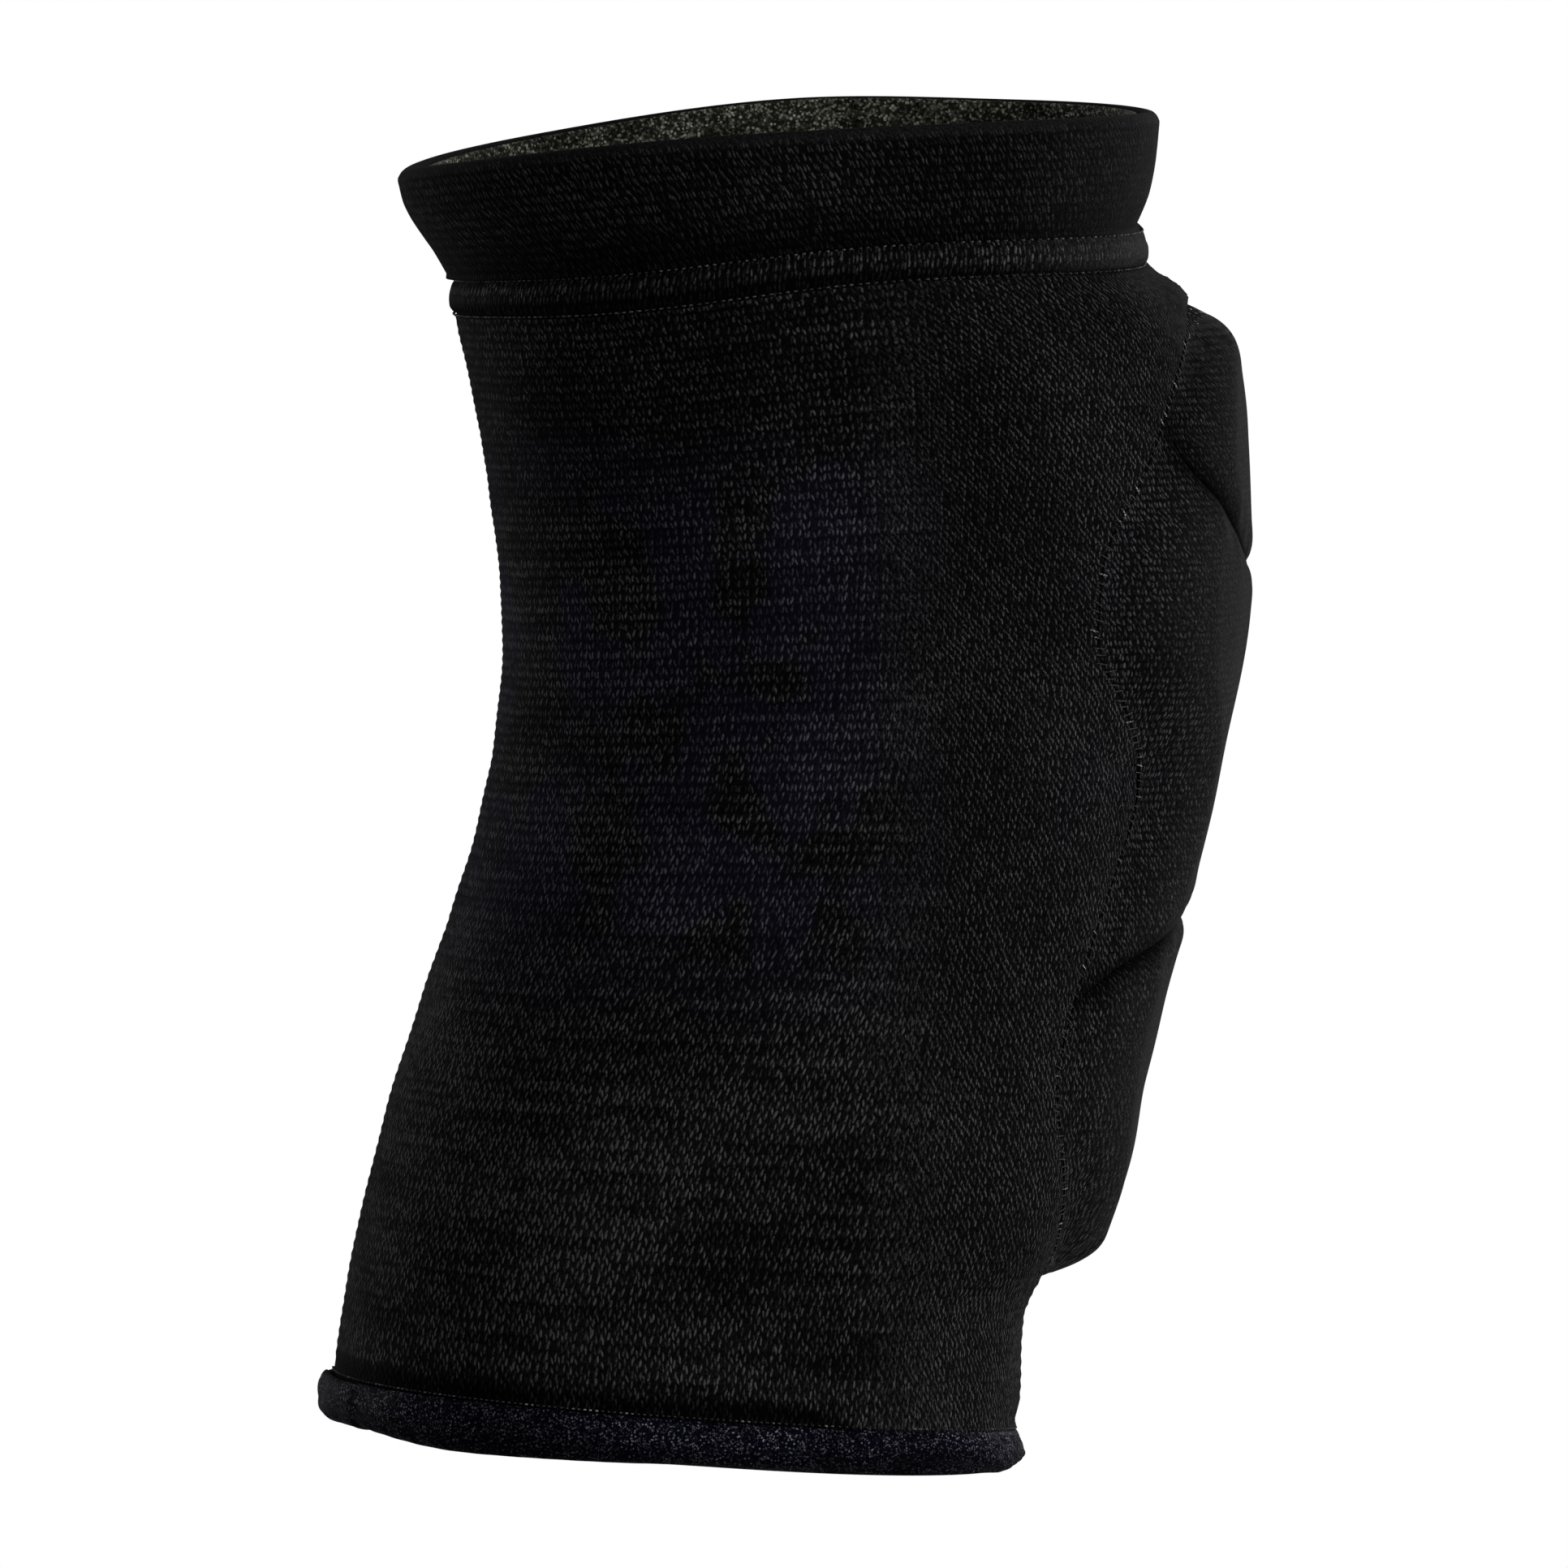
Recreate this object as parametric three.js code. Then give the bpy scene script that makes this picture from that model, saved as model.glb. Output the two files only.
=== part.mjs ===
// Volleyball knee pad in its worn form. A knitted sleeve bends with the leg, three padded
// lobes cover the knee, a flared cuff stands on a raised welt, an elastic facing lines the
// cuff and a folded band binds the hem.
// Millimetres, with +Z up the leg and +X to the front of the knee. The origin lies on the
// leg's axis.

import * as THREE from 'three';

// Sleeve.
const SLEEVE_HEIGHT = 177.4; // hem line to welt, along the leg's axis
const LEG_DEPTH = 110; // front to back over the knit, the unit of the section table
const LEG_WIDTH = 110; // side to side over the knit at the welt
const SLEEVE_WALL = 2.2;
const FRONT_SQUARENESS = 3.2; // exponent of the section's front half
const BACK_SQUARENESS = 2.1; // exponent of its back half, near an ellipse
const TOP_FRONT_RISE = 4.1; // rise of the welt's front over the leg's axis
const HEM_FRONT_DROP = 3.5; // drop of the hem's front under it
const TOP_SIDE_RISE = 2.9; // rise of the welt at the leg's sides
const WELT_DIP = 1.9; // sag of the welt on either side of the back

// Padded lobes.
const PAD_START = 23.2; // hem line to the lowest lobe, up the front
const PAD_MARGIN = 8; // topmost lobe to the welt, up the front
const PAD_GIRTH = 88; // widest spread, measured round the leg
const PAD_THICKNESS = 9.9; // thickest crown over the knit
const PAD_SWELL = 6.3; // most that the padding lifts the knit off the leg
const PAD_EDGE = 1; // thickness left at the stitched border
const PAD_DOME = 0.1; // share of the crown lost from the middle to the sides
const SIDE_SLOPE = 14; // width of the slope up the sides
const TOP_ROUND = 10; // width of the rounding at the upper end
const BOTTOM_ROUND = 6.5; // and at the lower end
const CHANNEL_ROUND = 5; // and along the channels
const CHANNEL_GAP = 0.6; // open width of a channel
const END_CURVE = 3; // how far the ends of the pad bow at their corners

// Cuff, its welt and its facing.
const CUFF_HEIGHT = 23.5; // welt's lower edge to the rim
const CUFF_WALL = 3;
const CUFF_FLARE_BACK = 9;
const CUFF_FLARE_FRONT = 2.3;
const CUFF_LEAN = 1.4; // how far its foot sits back over the welt
const WELT_HEIGHT = 5.2;
const WELT_THICKNESS = 1.3;
const WELT_RECESS = 0.6; // depth that the knit is drawn in under the welt
const FACING_HEIGHT = 15;
const FACING_WALL = 1.2;
const FACING_SETBACK = 1.3; // rim's top to the facing's upper edge

// Hem band, a strip folded round the sleeve's lower edge.
const HEM_HEIGHT = 7.4;
const HEM_WALL = 1.5;
const HEM_TUCK = 5; // sleeve hidden in the fold
const HEM_INNER_DROP = 1.1; // inner leg's upper edge under the outer one

const CLEARANCE = 0.3; // between pieces that lie together
const PAD_CLEARANCE = 0.5; // between the curved pads and the curved knit

// Columns of facets round the leg.
const AROUND = 54;

// Sections up the leg. Heights are shares of the sleeve's height, back and front are
// shares of LEG_DEPTH from the origin, and side is a share of LEG_WIDTH.
const SECTIONS = [
  { at: 0.0, back: -0.696, front: 0.302, side: 0.455 },
  { at: 0.1, back: -0.673, front: 0.311, side: 0.46 },
  { at: 0.2, back: -0.638, front: 0.342, side: 0.465 },
  { at: 0.3, back: -0.595, front: 0.377, side: 0.465 },
  { at: 0.4, back: -0.543, front: 0.418, side: 0.462 },
  { at: 0.5, back: -0.492, front: 0.455, side: 0.462 },
  { at: 0.6, back: -0.461, front: 0.491, side: 0.466 },
  { at: 0.7, back: -0.45, front: 0.509, side: 0.474 },
  { at: 0.8, back: -0.462, front: 0.514, side: 0.482 },
  { at: 0.9, back: -0.486, front: 0.505, side: 0.49 },
  { at: 1.0, back: -0.519, front: 0.483, side: 0.5 },
];

// Lift of the knit off the leg. Places are shares of the pad's length and lifts are
// shares of PAD_SWELL. It fades out past both ends of the pad.
const SWELLS = [
  { at: -0.045, lift: 0 },
  { at: -0.02, lift: 0.13 },
  { at: 0.0, lift: 0.37 },
  { at: 0.03, lift: 0.62 },
  { at: 0.105, lift: 0.85 },
  { at: 0.2, lift: 0.78 },
  { at: 0.32, lift: 0.6 },
  { at: 0.445, lift: 0.55 },
  { at: 0.566, lift: 0.58 },
  { at: 0.688, lift: 0.76 },
  { at: 0.81, lift: 0.87 },
  { at: 0.93, lift: 0.95 },
  { at: 0.99, lift: 1 },
  { at: 1.02, lift: 0.62 },
  { at: 1.052, lift: 0 },
];

// The pad's outline and crown. Places are shares of its length, spreads are shares of
// PAD_GIRTH and crowns are shares of PAD_THICKNESS.
const OUTLINE = [
  { at: 0.0, spread: 0.27 },
  { at: 0.055, spread: 0.46 },
  { at: 0.11, spread: 0.61 },
  { at: 0.16, spread: 0.71 },
  { at: 0.215, spread: 0.775 },
  { at: 0.29, spread: 0.765 },
  { at: 0.37, spread: 0.72 },
  { at: 0.44, spread: 0.665 },
  { at: 0.49, spread: 0.635 },
  { at: 0.54, spread: 0.69 },
  { at: 0.6, spread: 0.84 },
  { at: 0.65, spread: 0.965 },
  { at: 0.7, spread: 1 },
  { at: 0.77, spread: 0.985 },
  { at: 0.83, spread: 0.88 },
  { at: 0.91, spread: 0.725 },
  { at: 0.96, spread: 0.58 },
  { at: 1.0, spread: 0.38 },
];
const CROWNS = [
  { at: 0.0, crown: 0.7 },
  { at: 0.105, crown: 0.71 },
  { at: 0.2, crown: 0.73 },
  { at: 0.323, crown: 0.84 },
  { at: 0.445, crown: 0.93 },
  { at: 0.566, crown: 0.9 },
  { at: 0.688, crown: 0.9 },
  { at: 0.81, crown: 0.8 },
  { at: 0.93, crown: 0.71 },
  { at: 1.0, crown: 0.66 },
];

// The channels that part the lobes. Each runs from its middle to a place further up or
// down at the pad's sides, as shares of the pad's length, and bend sets its curve. The
// floor is the share of the crown left beside it.
const LOWER_CHANNEL = { middle: 0.375, shift: -0.085, bend: 2.3, floor: 0.72 };
const UPPER_CHANNEL = { middle: 0.735, shift: 0.165, bend: 1.75, floor: 0.82 };

// Flare of the cuff. Heights are shares of CUFF_HEIGHT over the welt's lower edge, outs are
// shares of the flare and leans are shares of CUFF_LEAN.
const FLARES = [
  { at: 0.26, out: 0, lean: 1 },
  { at: 0.5, out: 0.5, lean: 0.55 },
  { at: 0.72, out: 0.86, lean: 0.15 },
  { at: 0.92, out: 1, lean: 0 },
];

// Where the welt sags: the angle from the front and the angle over which it fades.
const DIP_ANGLE = 2.05;
const DIP_SPREAD = 0.55;

// Rows of facets, as shares of the sleeve's height.
const KNIT_ROWS = [
  0, 0.045, 0.085, 0.107, 0.125, 0.145, 0.18, 0.23, 0.29, 0.35, 0.41, 0.47, 0.53, 0.59, 0.65,
  0.71, 0.77, 0.83, 0.88, 0.92, 0.945, 0.96, 0.975, 0.988,
];
const LINING_ROWS = [0, 0.1, 0.2, 0.3, 0.4, 0.5, 0.59, 0.68, 0.77, 0.86, 0.95];

// Columns and rows of facets on a lobe, from its middle out and from its lower edge up.
const LOBE_COLUMNS = [0, 0.17, 0.33, 0.48, 0.62, 0.75, 0.86, 0.94, 1];
const LOBE_ROWS = [0, 0.035, 0.1, 0.19, 0.3, 0.42, 0.55, 0.68, 0.8, 0.9, 0.965, 1];
const MIDDLE_ROWS = [
  0, 0.03, 0.08, 0.16, 0.25, 0.34, 0.43, 0.51, 0.58, 0.65, 0.73, 0.82, 0.91, 0.965, 1,
];

const FRONT_HEIGHT = SLEEVE_HEIGHT + TOP_FRONT_RISE + HEM_FRONT_DROP;
const PAD_LENGTH = FRONT_HEIGHT - PAD_START - PAD_MARGIN;
const SEAM_RISE = WELT_HEIGHT * 0.45;
const HEM_LINE = -(SLEEVE_HEIGHT + CUFF_HEIGHT - HEM_HEIGHT) / 2;

const KNIT = new THREE.MeshStandardMaterial({ color: 0x17171a, roughness: 0.95 });
const PAD_KNIT = new THREE.MeshStandardMaterial({ color: 0x1b1b1f, roughness: 0.92 });
const SATIN = new THREE.MeshStandardMaterial({ color: 0x1a1a26, roughness: 0.55 });
const ELASTIC = new THREE.MeshStandardMaterial({ color: 0x22231c, roughness: 0.7 });

/** Reads one column of a table at a place between its rows, on a smooth curve. */
function read(table, column, place) {
  const last = table.length - 1;
  const here = THREE.MathUtils.clamp(place, table[0].at, table[last].at);
  let row = 0;
  while (row < last - 1 && table[row + 1].at < here) row += 1;
  const slope = (k) => {
    const before = table[Math.max(k - 1, 0)];
    const after = table[Math.min(k + 1, last)];
    return (after[column] - before[column]) / (after.at - before.at);
  };
  const from = table[row];
  const to = table[row + 1];
  const span = to.at - from.at;
  const s = (here - from.at) / span;
  const ease = s * s * (3 - 2 * s);
  const leave = s * (1 - s) * (1 - s) * span * slope(row);
  const arrive = s * s * (s - 1) * span * slope(row + 1);
  return from[column] + ease * (to[column] - from[column]) + leave + arrive;
}

/** How far the knit sags on either side of the back, most of all at the welt. */
function sag(angle, along, rise) {
  const away = (Math.abs(angle) - DIP_ANGLE) / DIP_SPREAD;
  const cuffShare = THREE.MathUtils.clamp(rise / CUFF_HEIGHT, 0, 1);
  const strength = THREE.MathUtils.smoothstep(along, 0.7, 1) * (1 - cuffShare);
  return WELT_DIP * Math.exp(-away * away) * strength;
}

/** Height of the knit's level line, which tilts to the front and rises at the sides. */
function levelHeight(angle, along, rise) {
  const tilt = THREE.MathUtils.lerp(-HEM_FRONT_DROP, TOP_FRONT_RISE, along);
  const sides = TOP_SIDE_RISE * along;
  const axis = HEM_LINE + SLEEVE_HEIGHT * along;
  return axis + tilt * Math.cos(angle) + sides * Math.sin(angle) ** 2 - sag(angle, along, rise);
}

/** Half depth, half width and middle of the leg's section. */
function section(along) {
  const front = read(SECTIONS, 'front', along) * LEG_DEPTH;
  const back = read(SECTIONS, 'back', along) * LEG_DEPTH;
  const side = read(SECTIONS, 'side', along) * LEG_WIDTH;
  return { middle: (front + back) / 2, depth: (front - back) / 2, width: side };
}

/** How far the padding lifts the knit off the leg. */
function swell(angle, along) {
  const place = (along * FRONT_HEIGHT - PAD_START) / PAD_LENGTH;
  const aside = THREE.MathUtils.smoothstep(Math.abs(angle), 0.55, 1.35);
  return PAD_SWELL * read(SWELLS, 'lift', place) * (1 - aside);
}

/**
 * A point round the leg. Outward is the distance outside the knit's outer face, rise the
 * distance above the level line, and lifted says whether the padding's swell counts.
 */
function legPoint(angle, along, outward, rise = 0, lifted = true) {
  const turned = Math.atan2(Math.sin(angle), Math.cos(angle));
  const { middle, depth, width } = section(along);
  const frontness = THREE.MathUtils.smoothstep(Math.cos(turned), -0.3, 0.7);
  const power = THREE.MathUtils.lerp(BACK_SQUARENESS, FRONT_SQUARENESS, frontness);
  const forward = Math.abs(Math.cos(turned)) / (depth + outward);
  const sideways = Math.abs(Math.sin(turned)) / (width + outward);
  const lift = lifted ? swell(turned, along) : 0;
  const reach = (forward ** power + sideways ** power) ** (-1 / power) + lift;
  return new THREE.Vector3(
    middle + reach * Math.cos(turned),
    reach * Math.sin(turned),
    levelHeight(turned, along, rise) + rise,
  );
}

/** A closed mesh from its corners and the corners of each triangle. */
function closedGeometry(corners, faces) {
  const geometry = new THREE.BufferGeometry();
  const positions = corners.flatMap((corner) => corner.toArray());
  geometry.setAttribute('position', new THREE.Float32BufferAttribute(positions, 3));
  geometry.setIndex(faces);
  geometry.computeVertexNormals();
  return geometry;
}

/** A ring round the leg. Its section runs up the outside and down the inside. */
function ringSolid(sectionAt) {
  const columns = Array.from({ length: AROUND }, (_, k) => sectionAt((k / AROUND) * 2 * Math.PI));
  const rows = columns[0].length;
  const faces = [];
  for (let k = 0; k < AROUND; k += 1) {
    const here = k * rows;
    const next = ((k + 1) % AROUND) * rows;
    for (let row = 0; row < rows; row += 1) {
      const above = (row + 1) % rows;
      faces.push(here + row, next + row, next + above);
      faces.push(here + row, next + above, here + above);
    }
  }
  return closedGeometry(columns.flat(), faces);
}

/** A padded sheet between an outer and an inner face over the same columns and rows. */
function sheetSolid(columns, rows, outerAt, innerAt) {
  const tall = rows.length;
  const sheet = (pointAt) => columns.flatMap((across) => rows.map((up) => pointAt(across, up)));
  const corners = [...sheet(outerAt), ...sheet(innerAt)];
  const inner = columns.length * tall;
  const faces = [];
  const quad = (a, b, c, d) => faces.push(a, b, c, a, c, d);
  for (let i = 0; i < columns.length - 1; i += 1) {
    for (let j = 0; j < tall - 1; j += 1) {
      const [a, b, c, d] = [i * tall + j, (i + 1) * tall + j, (i + 1) * tall + j + 1, i * tall + j + 1];
      quad(a, b, c, d);
      quad(inner + a, inner + d, inner + c, inner + b);
    }
  }
  const rim = (a, b) => quad(a, inner + a, inner + b, b);
  const lastColumn = (columns.length - 1) * tall;
  for (let i = 0; i < columns.length - 1; i += 1) {
    rim(i * tall, (i + 1) * tall);
    rim((i + 2) * tall - 1, (i + 1) * tall - 1);
  }
  for (let j = 0; j < tall - 1; j += 1) {
    rim(lastColumn + j, lastColumn + j + 1);
    rim(j + 1, j);
  }
  return closedGeometry(corners, faces);
}

/** The knitted tube: its outer face follows the padding, its inner face the leg. */
function sleeveGeometry() {
  return ringSolid((angle) => {
    const outer = KNIT_ROWS.map((along) => legPoint(angle, along, 0));
    const inner = LINING_ROWS.map((along) => legPoint(angle, along, -SLEEVE_WALL, 0, false));
    return [
      legPoint(angle, 0, 0, -HEM_TUCK, false),
      ...outer,
      legPoint(angle, 1, 0, -CLEARANCE * 2, false),
      legPoint(angle, 1, -WELT_RECESS, -CLEARANCE, false),
      legPoint(angle, 1, -WELT_RECESS, SEAM_RISE, false),
      legPoint(angle, 1, -SLEEVE_WALL, SEAM_RISE, false),
      ...inner.reverse(),
      legPoint(angle, 0, -SLEEVE_WALL, -HEM_TUCK, false),
    ];
  });
}

/** Flare of the cuff at an angle round the leg. */
function flareReach(angle) {
  const share = (1 - Math.cos(angle)) / 2;
  return THREE.MathUtils.lerp(CUFF_FLARE_FRONT, CUFF_FLARE_BACK, share);
}

/** Points up the cuff at the flare's rows between two heights, inset from its outer face. */
function flaredRows(angle, inset, low, high) {
  const out = (rise) => {
    const share = rise / CUFF_HEIGHT;
    const lean = read(FLARES, 'lean', share) * CUFF_LEAN * Math.cos(angle);
    return read(FLARES, 'out', share) * flareReach(angle) - lean;
  };
  const between = FLARES.map((row) => row.at * CUFF_HEIGHT).filter((rise) => rise > low && rise < high);
  return [low, ...between, high].map((rise) => legPoint(angle, 1, out(rise) - inset, rise));
}

/** The flared cuff with its rounded rim. */
function cuffGeometry() {
  const shoulder = WELT_HEIGHT + CLEARANCE;
  const roll = CUFF_WALL / 2;
  const top = CUFF_HEIGHT - roll;
  return ringSolid((angle) => {
    const rim = [0.25, 0.5, 0.75].map((share) => {
      const turn = share * Math.PI;
      const outward = flareReach(angle) - roll + roll * Math.cos(turn);
      return legPoint(angle, 1, outward, top + roll * Math.sin(turn));
    });
    return [
      legPoint(angle, 1, -WELT_RECESS, SEAM_RISE + CLEARANCE),
      legPoint(angle, 1, -WELT_RECESS, shoulder),
      ...flaredRows(angle, 0, shoulder + CLEARANCE, top),
      ...rim,
      ...flaredRows(angle, CUFF_WALL, SEAM_RISE + CLEARANCE, top).reverse(),
    ];
  });
}

/** The raised welt that wraps the seam between sleeve and cuff. */
function weltGeometry() {
  const inside = CLEARANCE - WELT_RECESS;
  const bulge = [
    { rise: 0.06, out: 0.6 },
    { rise: 0.3, out: 1 },
    { rise: 0.7, out: 1 },
    { rise: 0.94, out: 0.6 },
  ];
  return ringSolid((angle) => [
    legPoint(angle, 1, inside, 0),
    ...bulge.map(({ rise, out }) =>
      legPoint(angle, 1, inside + WELT_THICKNESS * out, WELT_HEIGHT * rise),
    ),
    legPoint(angle, 1, inside, WELT_HEIGHT),
  ]);
}

/** The elastic facing inside the cuff. */
function facingGeometry() {
  const high = CUFF_HEIGHT - FACING_SETBACK;
  const low = high - FACING_HEIGHT;
  const outer = CUFF_WALL + CLEARANCE;
  return ringSolid((angle) => [
    ...flaredRows(angle, outer, low, high),
    ...flaredRows(angle, outer + FACING_WALL, low, high).reverse(),
  ]);
}

/** The band folded round the sleeve's lower edge. */
function hemGeometry() {
  const slotOut = CLEARANCE;
  const slotIn = -SLEEVE_WALL - CLEARANCE;
  const floor = -HEM_TUCK - CLEARANCE;
  const outside = slotOut + HEM_WALL;
  const inside = slotIn - HEM_WALL;
  const sectionRows = [
    { out: inside + HEM_WALL * 0.3, rise: -HEM_HEIGHT * 0.93 },
    { out: (inside + outside) / 2, rise: -HEM_HEIGHT },
    { out: outside - HEM_WALL * 0.3, rise: -HEM_HEIGHT * 0.93 },
    { out: outside, rise: -HEM_HEIGHT * 0.72 },
    { out: outside, rise: -HEM_HEIGHT * 0.2 },
    { out: slotOut + HEM_WALL * 0.5, rise: 0 },
    { out: slotOut, rise: -HEM_HEIGHT * 0.06 },
    { out: slotOut, rise: floor },
    { out: slotIn, rise: floor },
    { out: slotIn, rise: -HEM_INNER_DROP },
    { out: inside, rise: -HEM_INNER_DROP },
    { out: inside, rise: -HEM_HEIGHT * 0.75 },
  ];
  return ringSolid((angle) =>
    sectionRows.map(({ out, rise }) => legPoint(angle, 0, out, rise, false)),
  );
}

/** Place of a channel on the pad, at a share of the way from the middle to the side. */
function channelPlace(channel, across) {
  return channel.middle + channel.shift * Math.abs(across) ** channel.bend;
}

/** Rounding of a border from its floor up to one. A blunt border is a quarter circle. */
function rounding(distance, { width, floor, blunt }) {
  const short = 1 - THREE.MathUtils.clamp(distance / width, 0, 1);
  const arc = 1 - short * short;
  return floor + (1 - floor) * (blunt ? Math.sqrt(arc) : arc);
}

const bottomEnd = (across) => (END_CURVE / PAD_LENGTH) * Math.abs(across) ** 3;
const topEnd = (across) => 1 - (END_CURVE / PAD_LENGTH) * Math.abs(across) ** 3;
const halfGap = CHANNEL_GAP / 2 / PAD_LENGTH;
const LOWER_ROUND = { width: CHANNEL_ROUND, floor: LOWER_CHANNEL.floor, blunt: true };
const UPPER_ROUND = { width: CHANNEL_ROUND, floor: UPPER_CHANNEL.floor, blunt: true };

// Each lobe has a lower and an upper edge, and each edge is an end or a channel.
const LOBES = [
  {
    name: 'pad_lower',
    rows: LOBE_ROWS,
    low: bottomEnd,
    high: (across) => channelPlace(LOWER_CHANNEL, across) - halfGap,
    lowRound: { width: BOTTOM_ROUND, floor: 0, blunt: true },
    highRound: LOWER_ROUND,
  },
  {
    name: 'pad_middle',
    rows: MIDDLE_ROWS,
    low: (across) => channelPlace(LOWER_CHANNEL, across) + halfGap,
    high: (across) => channelPlace(UPPER_CHANNEL, across) - halfGap,
    lowRound: LOWER_ROUND,
    highRound: UPPER_ROUND,
  },
  {
    name: 'pad_upper',
    rows: LOBE_ROWS,
    low: (across) => channelPlace(UPPER_CHANNEL, across) + halfGap,
    high: topEnd,
    lowRound: UPPER_ROUND,
    highRound: { width: TOP_ROUND, floor: 0, blunt: false },
  },
];

/** One padded lobe on the front of the sleeve. */
function lobeGeometry(lobe) {
  const pointAt = (across, up, padded) => {
    const low = lobe.low(across);
    const high = lobe.high(across);
    const place = THREE.MathUtils.lerp(low, high, up);
    const along = (PAD_START + place * PAD_LENGTH) / FRONT_HEIGHT;
    const { depth, width } = section(along);
    const halfGirth = (read(OUTLINE, 'spread', place) * PAD_GIRTH) / 2;
    const angle = (across * halfGirth * 2) / (depth + width);
    const side = THREE.MathUtils.smoothstep((1 - Math.abs(across)) * halfGirth, 0, SIDE_SLOPE);
    const below = rounding((place - low) * PAD_LENGTH, lobe.lowRound);
    const above = rounding((high - place) * PAD_LENGTH, lobe.highRound);
    const crown = PAD_THICKNESS * read(CROWNS, 'crown', place) * (1 - PAD_DOME * across * across);
    const body = PAD_EDGE + (crown - PAD_EDGE) * side * below * above;
    const lift = PAD_CLEARANCE + (padded ? body : 0);
    return legPoint(angle, along, 0).add(
      new THREE.Vector3(Math.cos(angle) * lift, Math.sin(angle) * lift, 0),
    );
  };
  const left = LOBE_COLUMNS.slice(1).reverse().map((across) => -across);
  return sheetSolid(
    [...left, ...LOBE_COLUMNS],
    lobe.rows,
    (across, up) => pointAt(across, up, true),
    (across, up) => pointAt(across, up, false),
  );
}

/** A named mesh. */
function piece(name, geometry, material) {
  const mesh = new THREE.Mesh(geometry, material);
  mesh.name = name;
  return mesh;
}

const sleeve = new THREE.Group();
sleeve.add(piece('sleeve', sleeveGeometry(), KNIT));
sleeve.add(piece('hem_band', hemGeometry(), SATIN));

const pads = new THREE.Group();
for (const lobe of LOBES) pads.add(piece(lobe.name, lobeGeometry(lobe), PAD_KNIT));

const cuff = new THREE.Group();
cuff.add(piece('cuff_band', cuffGeometry(), KNIT));
cuff.add(piece('cuff_welt', weltGeometry(), KNIT));
cuff.add(piece('cuff_facing', facingGeometry(), ELASTIC));

const kneePad = new THREE.Group();
kneePad.add(sleeve, pads, cuff);

export default kneePad;
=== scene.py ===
"""Looks of a volleyball knee pad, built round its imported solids.

A knitted sleeve bends with the leg and three padded lobes cover the knee. A flared cuff
stands on a raised welt, an elastic facing lines it, and a satin band binds the hem.
The classes measure in millimetres in the row frame, with +Z up the leg and +X to the
front of the knee. Meshes are made in metres.
"""

from __future__ import annotations

import logging
import math
from collections.abc import Callable, Iterable
from dataclasses import dataclass, field
from enum import Enum

import bpy
import numpy as np
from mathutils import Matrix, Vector
from numpy.typing import NDArray

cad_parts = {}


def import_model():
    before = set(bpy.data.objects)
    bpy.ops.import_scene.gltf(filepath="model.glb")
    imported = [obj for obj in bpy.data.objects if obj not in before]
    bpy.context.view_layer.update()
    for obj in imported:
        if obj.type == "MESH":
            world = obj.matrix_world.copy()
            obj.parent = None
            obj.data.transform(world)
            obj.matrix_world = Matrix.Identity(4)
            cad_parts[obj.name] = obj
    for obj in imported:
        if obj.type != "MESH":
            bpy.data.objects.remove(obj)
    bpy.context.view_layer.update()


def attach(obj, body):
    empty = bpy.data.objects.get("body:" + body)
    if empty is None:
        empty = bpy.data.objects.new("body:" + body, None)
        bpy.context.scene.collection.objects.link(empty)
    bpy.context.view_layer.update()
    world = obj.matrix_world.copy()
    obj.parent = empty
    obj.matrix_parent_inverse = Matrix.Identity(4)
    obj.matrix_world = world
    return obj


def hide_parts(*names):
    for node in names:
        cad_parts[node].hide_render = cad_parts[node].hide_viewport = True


Array = NDArray[np.float64]
Colour = tuple[float, float, float]
Place = tuple[float, float, float]
Ramp = tuple[float, float, float, float]
Material = bpy.types.Material
Node = bpy.types.Node
Piece = bpy.types.Object
Tree = bpy.types.NodeTree
LOG = logging.getLogger("knee_pad")
MM = 0.001
TURN = 2 * math.pi
BODY = "root"
KNIT_MAP = "Knit"
STRETCH = "stretch"
FOLD = "fold"
BAKE_MAP = "OFBake"
BAKE_SCALE = 0.996
BAKE_INSET = 0.002
SHADER = "Principled BSDF"
TINY = 1e-9


def smoothstep(value: Array, low: float, high: float) -> Array:
    """Eased share of the way from low to high."""
    share = np.clip((value - low) / (high - low), 0, 1)
    return share * share * (3 - 2 * share)


def blend(start: Array | float, end: Array | float, share: Array | float) -> Array:
    """Straight mix of two values, the second by its share."""
    return start + (end - start) * share


def hump(distance: Array, width: float) -> Array:
    """Soft bell that is one at no distance and fades over the width."""
    return np.exp(-((distance / width) ** 2))


def grid(columns: Array, rows: Array) -> tuple[Array, ...]:
    """Two runs of values spread over a grid, columns first."""
    return tuple(np.meshgrid(columns, rows, indexing="ij"))


@dataclass(frozen=True)
class Curve:
    """Smooth curve through pairs of place and value."""

    knots: tuple[tuple[float, float], ...]

    def at(self, place: Array | float) -> Array:
        """Reads the curve, held level past both ends.

        Args:
            place: The places to read.

        Returns:
            The values there.
        """
        places, values = np.array(self.knots, float).T
        last = len(places) - 1
        here = np.clip(place, places[0], places[last])
        row = np.clip(np.searchsorted(places, here, side="left") - 1, 0, last - 1)
        before = np.maximum(np.arange(last + 1) - 1, 0)
        after = np.minimum(np.arange(last + 1) + 1, last)
        slopes = (values[after] - values[before]) / (places[after] - places[before])
        span = places[row + 1] - places[row]
        s = (here - places[row]) / span
        ease = s * s * (3 - 2 * s)
        leave = s * (1 - s) ** 2 * span * slopes[row]
        arrive = s * s * (s - 1) * span * slopes[row + 1]
        return values[row] + ease * (values[row + 1] - values[row]) + leave + arrive


def tenths(*values: float) -> Curve:
    """Curve through values that stand a tenth of the way apart."""
    return Curve(tuple((place / 10, value) for place, value in enumerate(values)))


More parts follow.
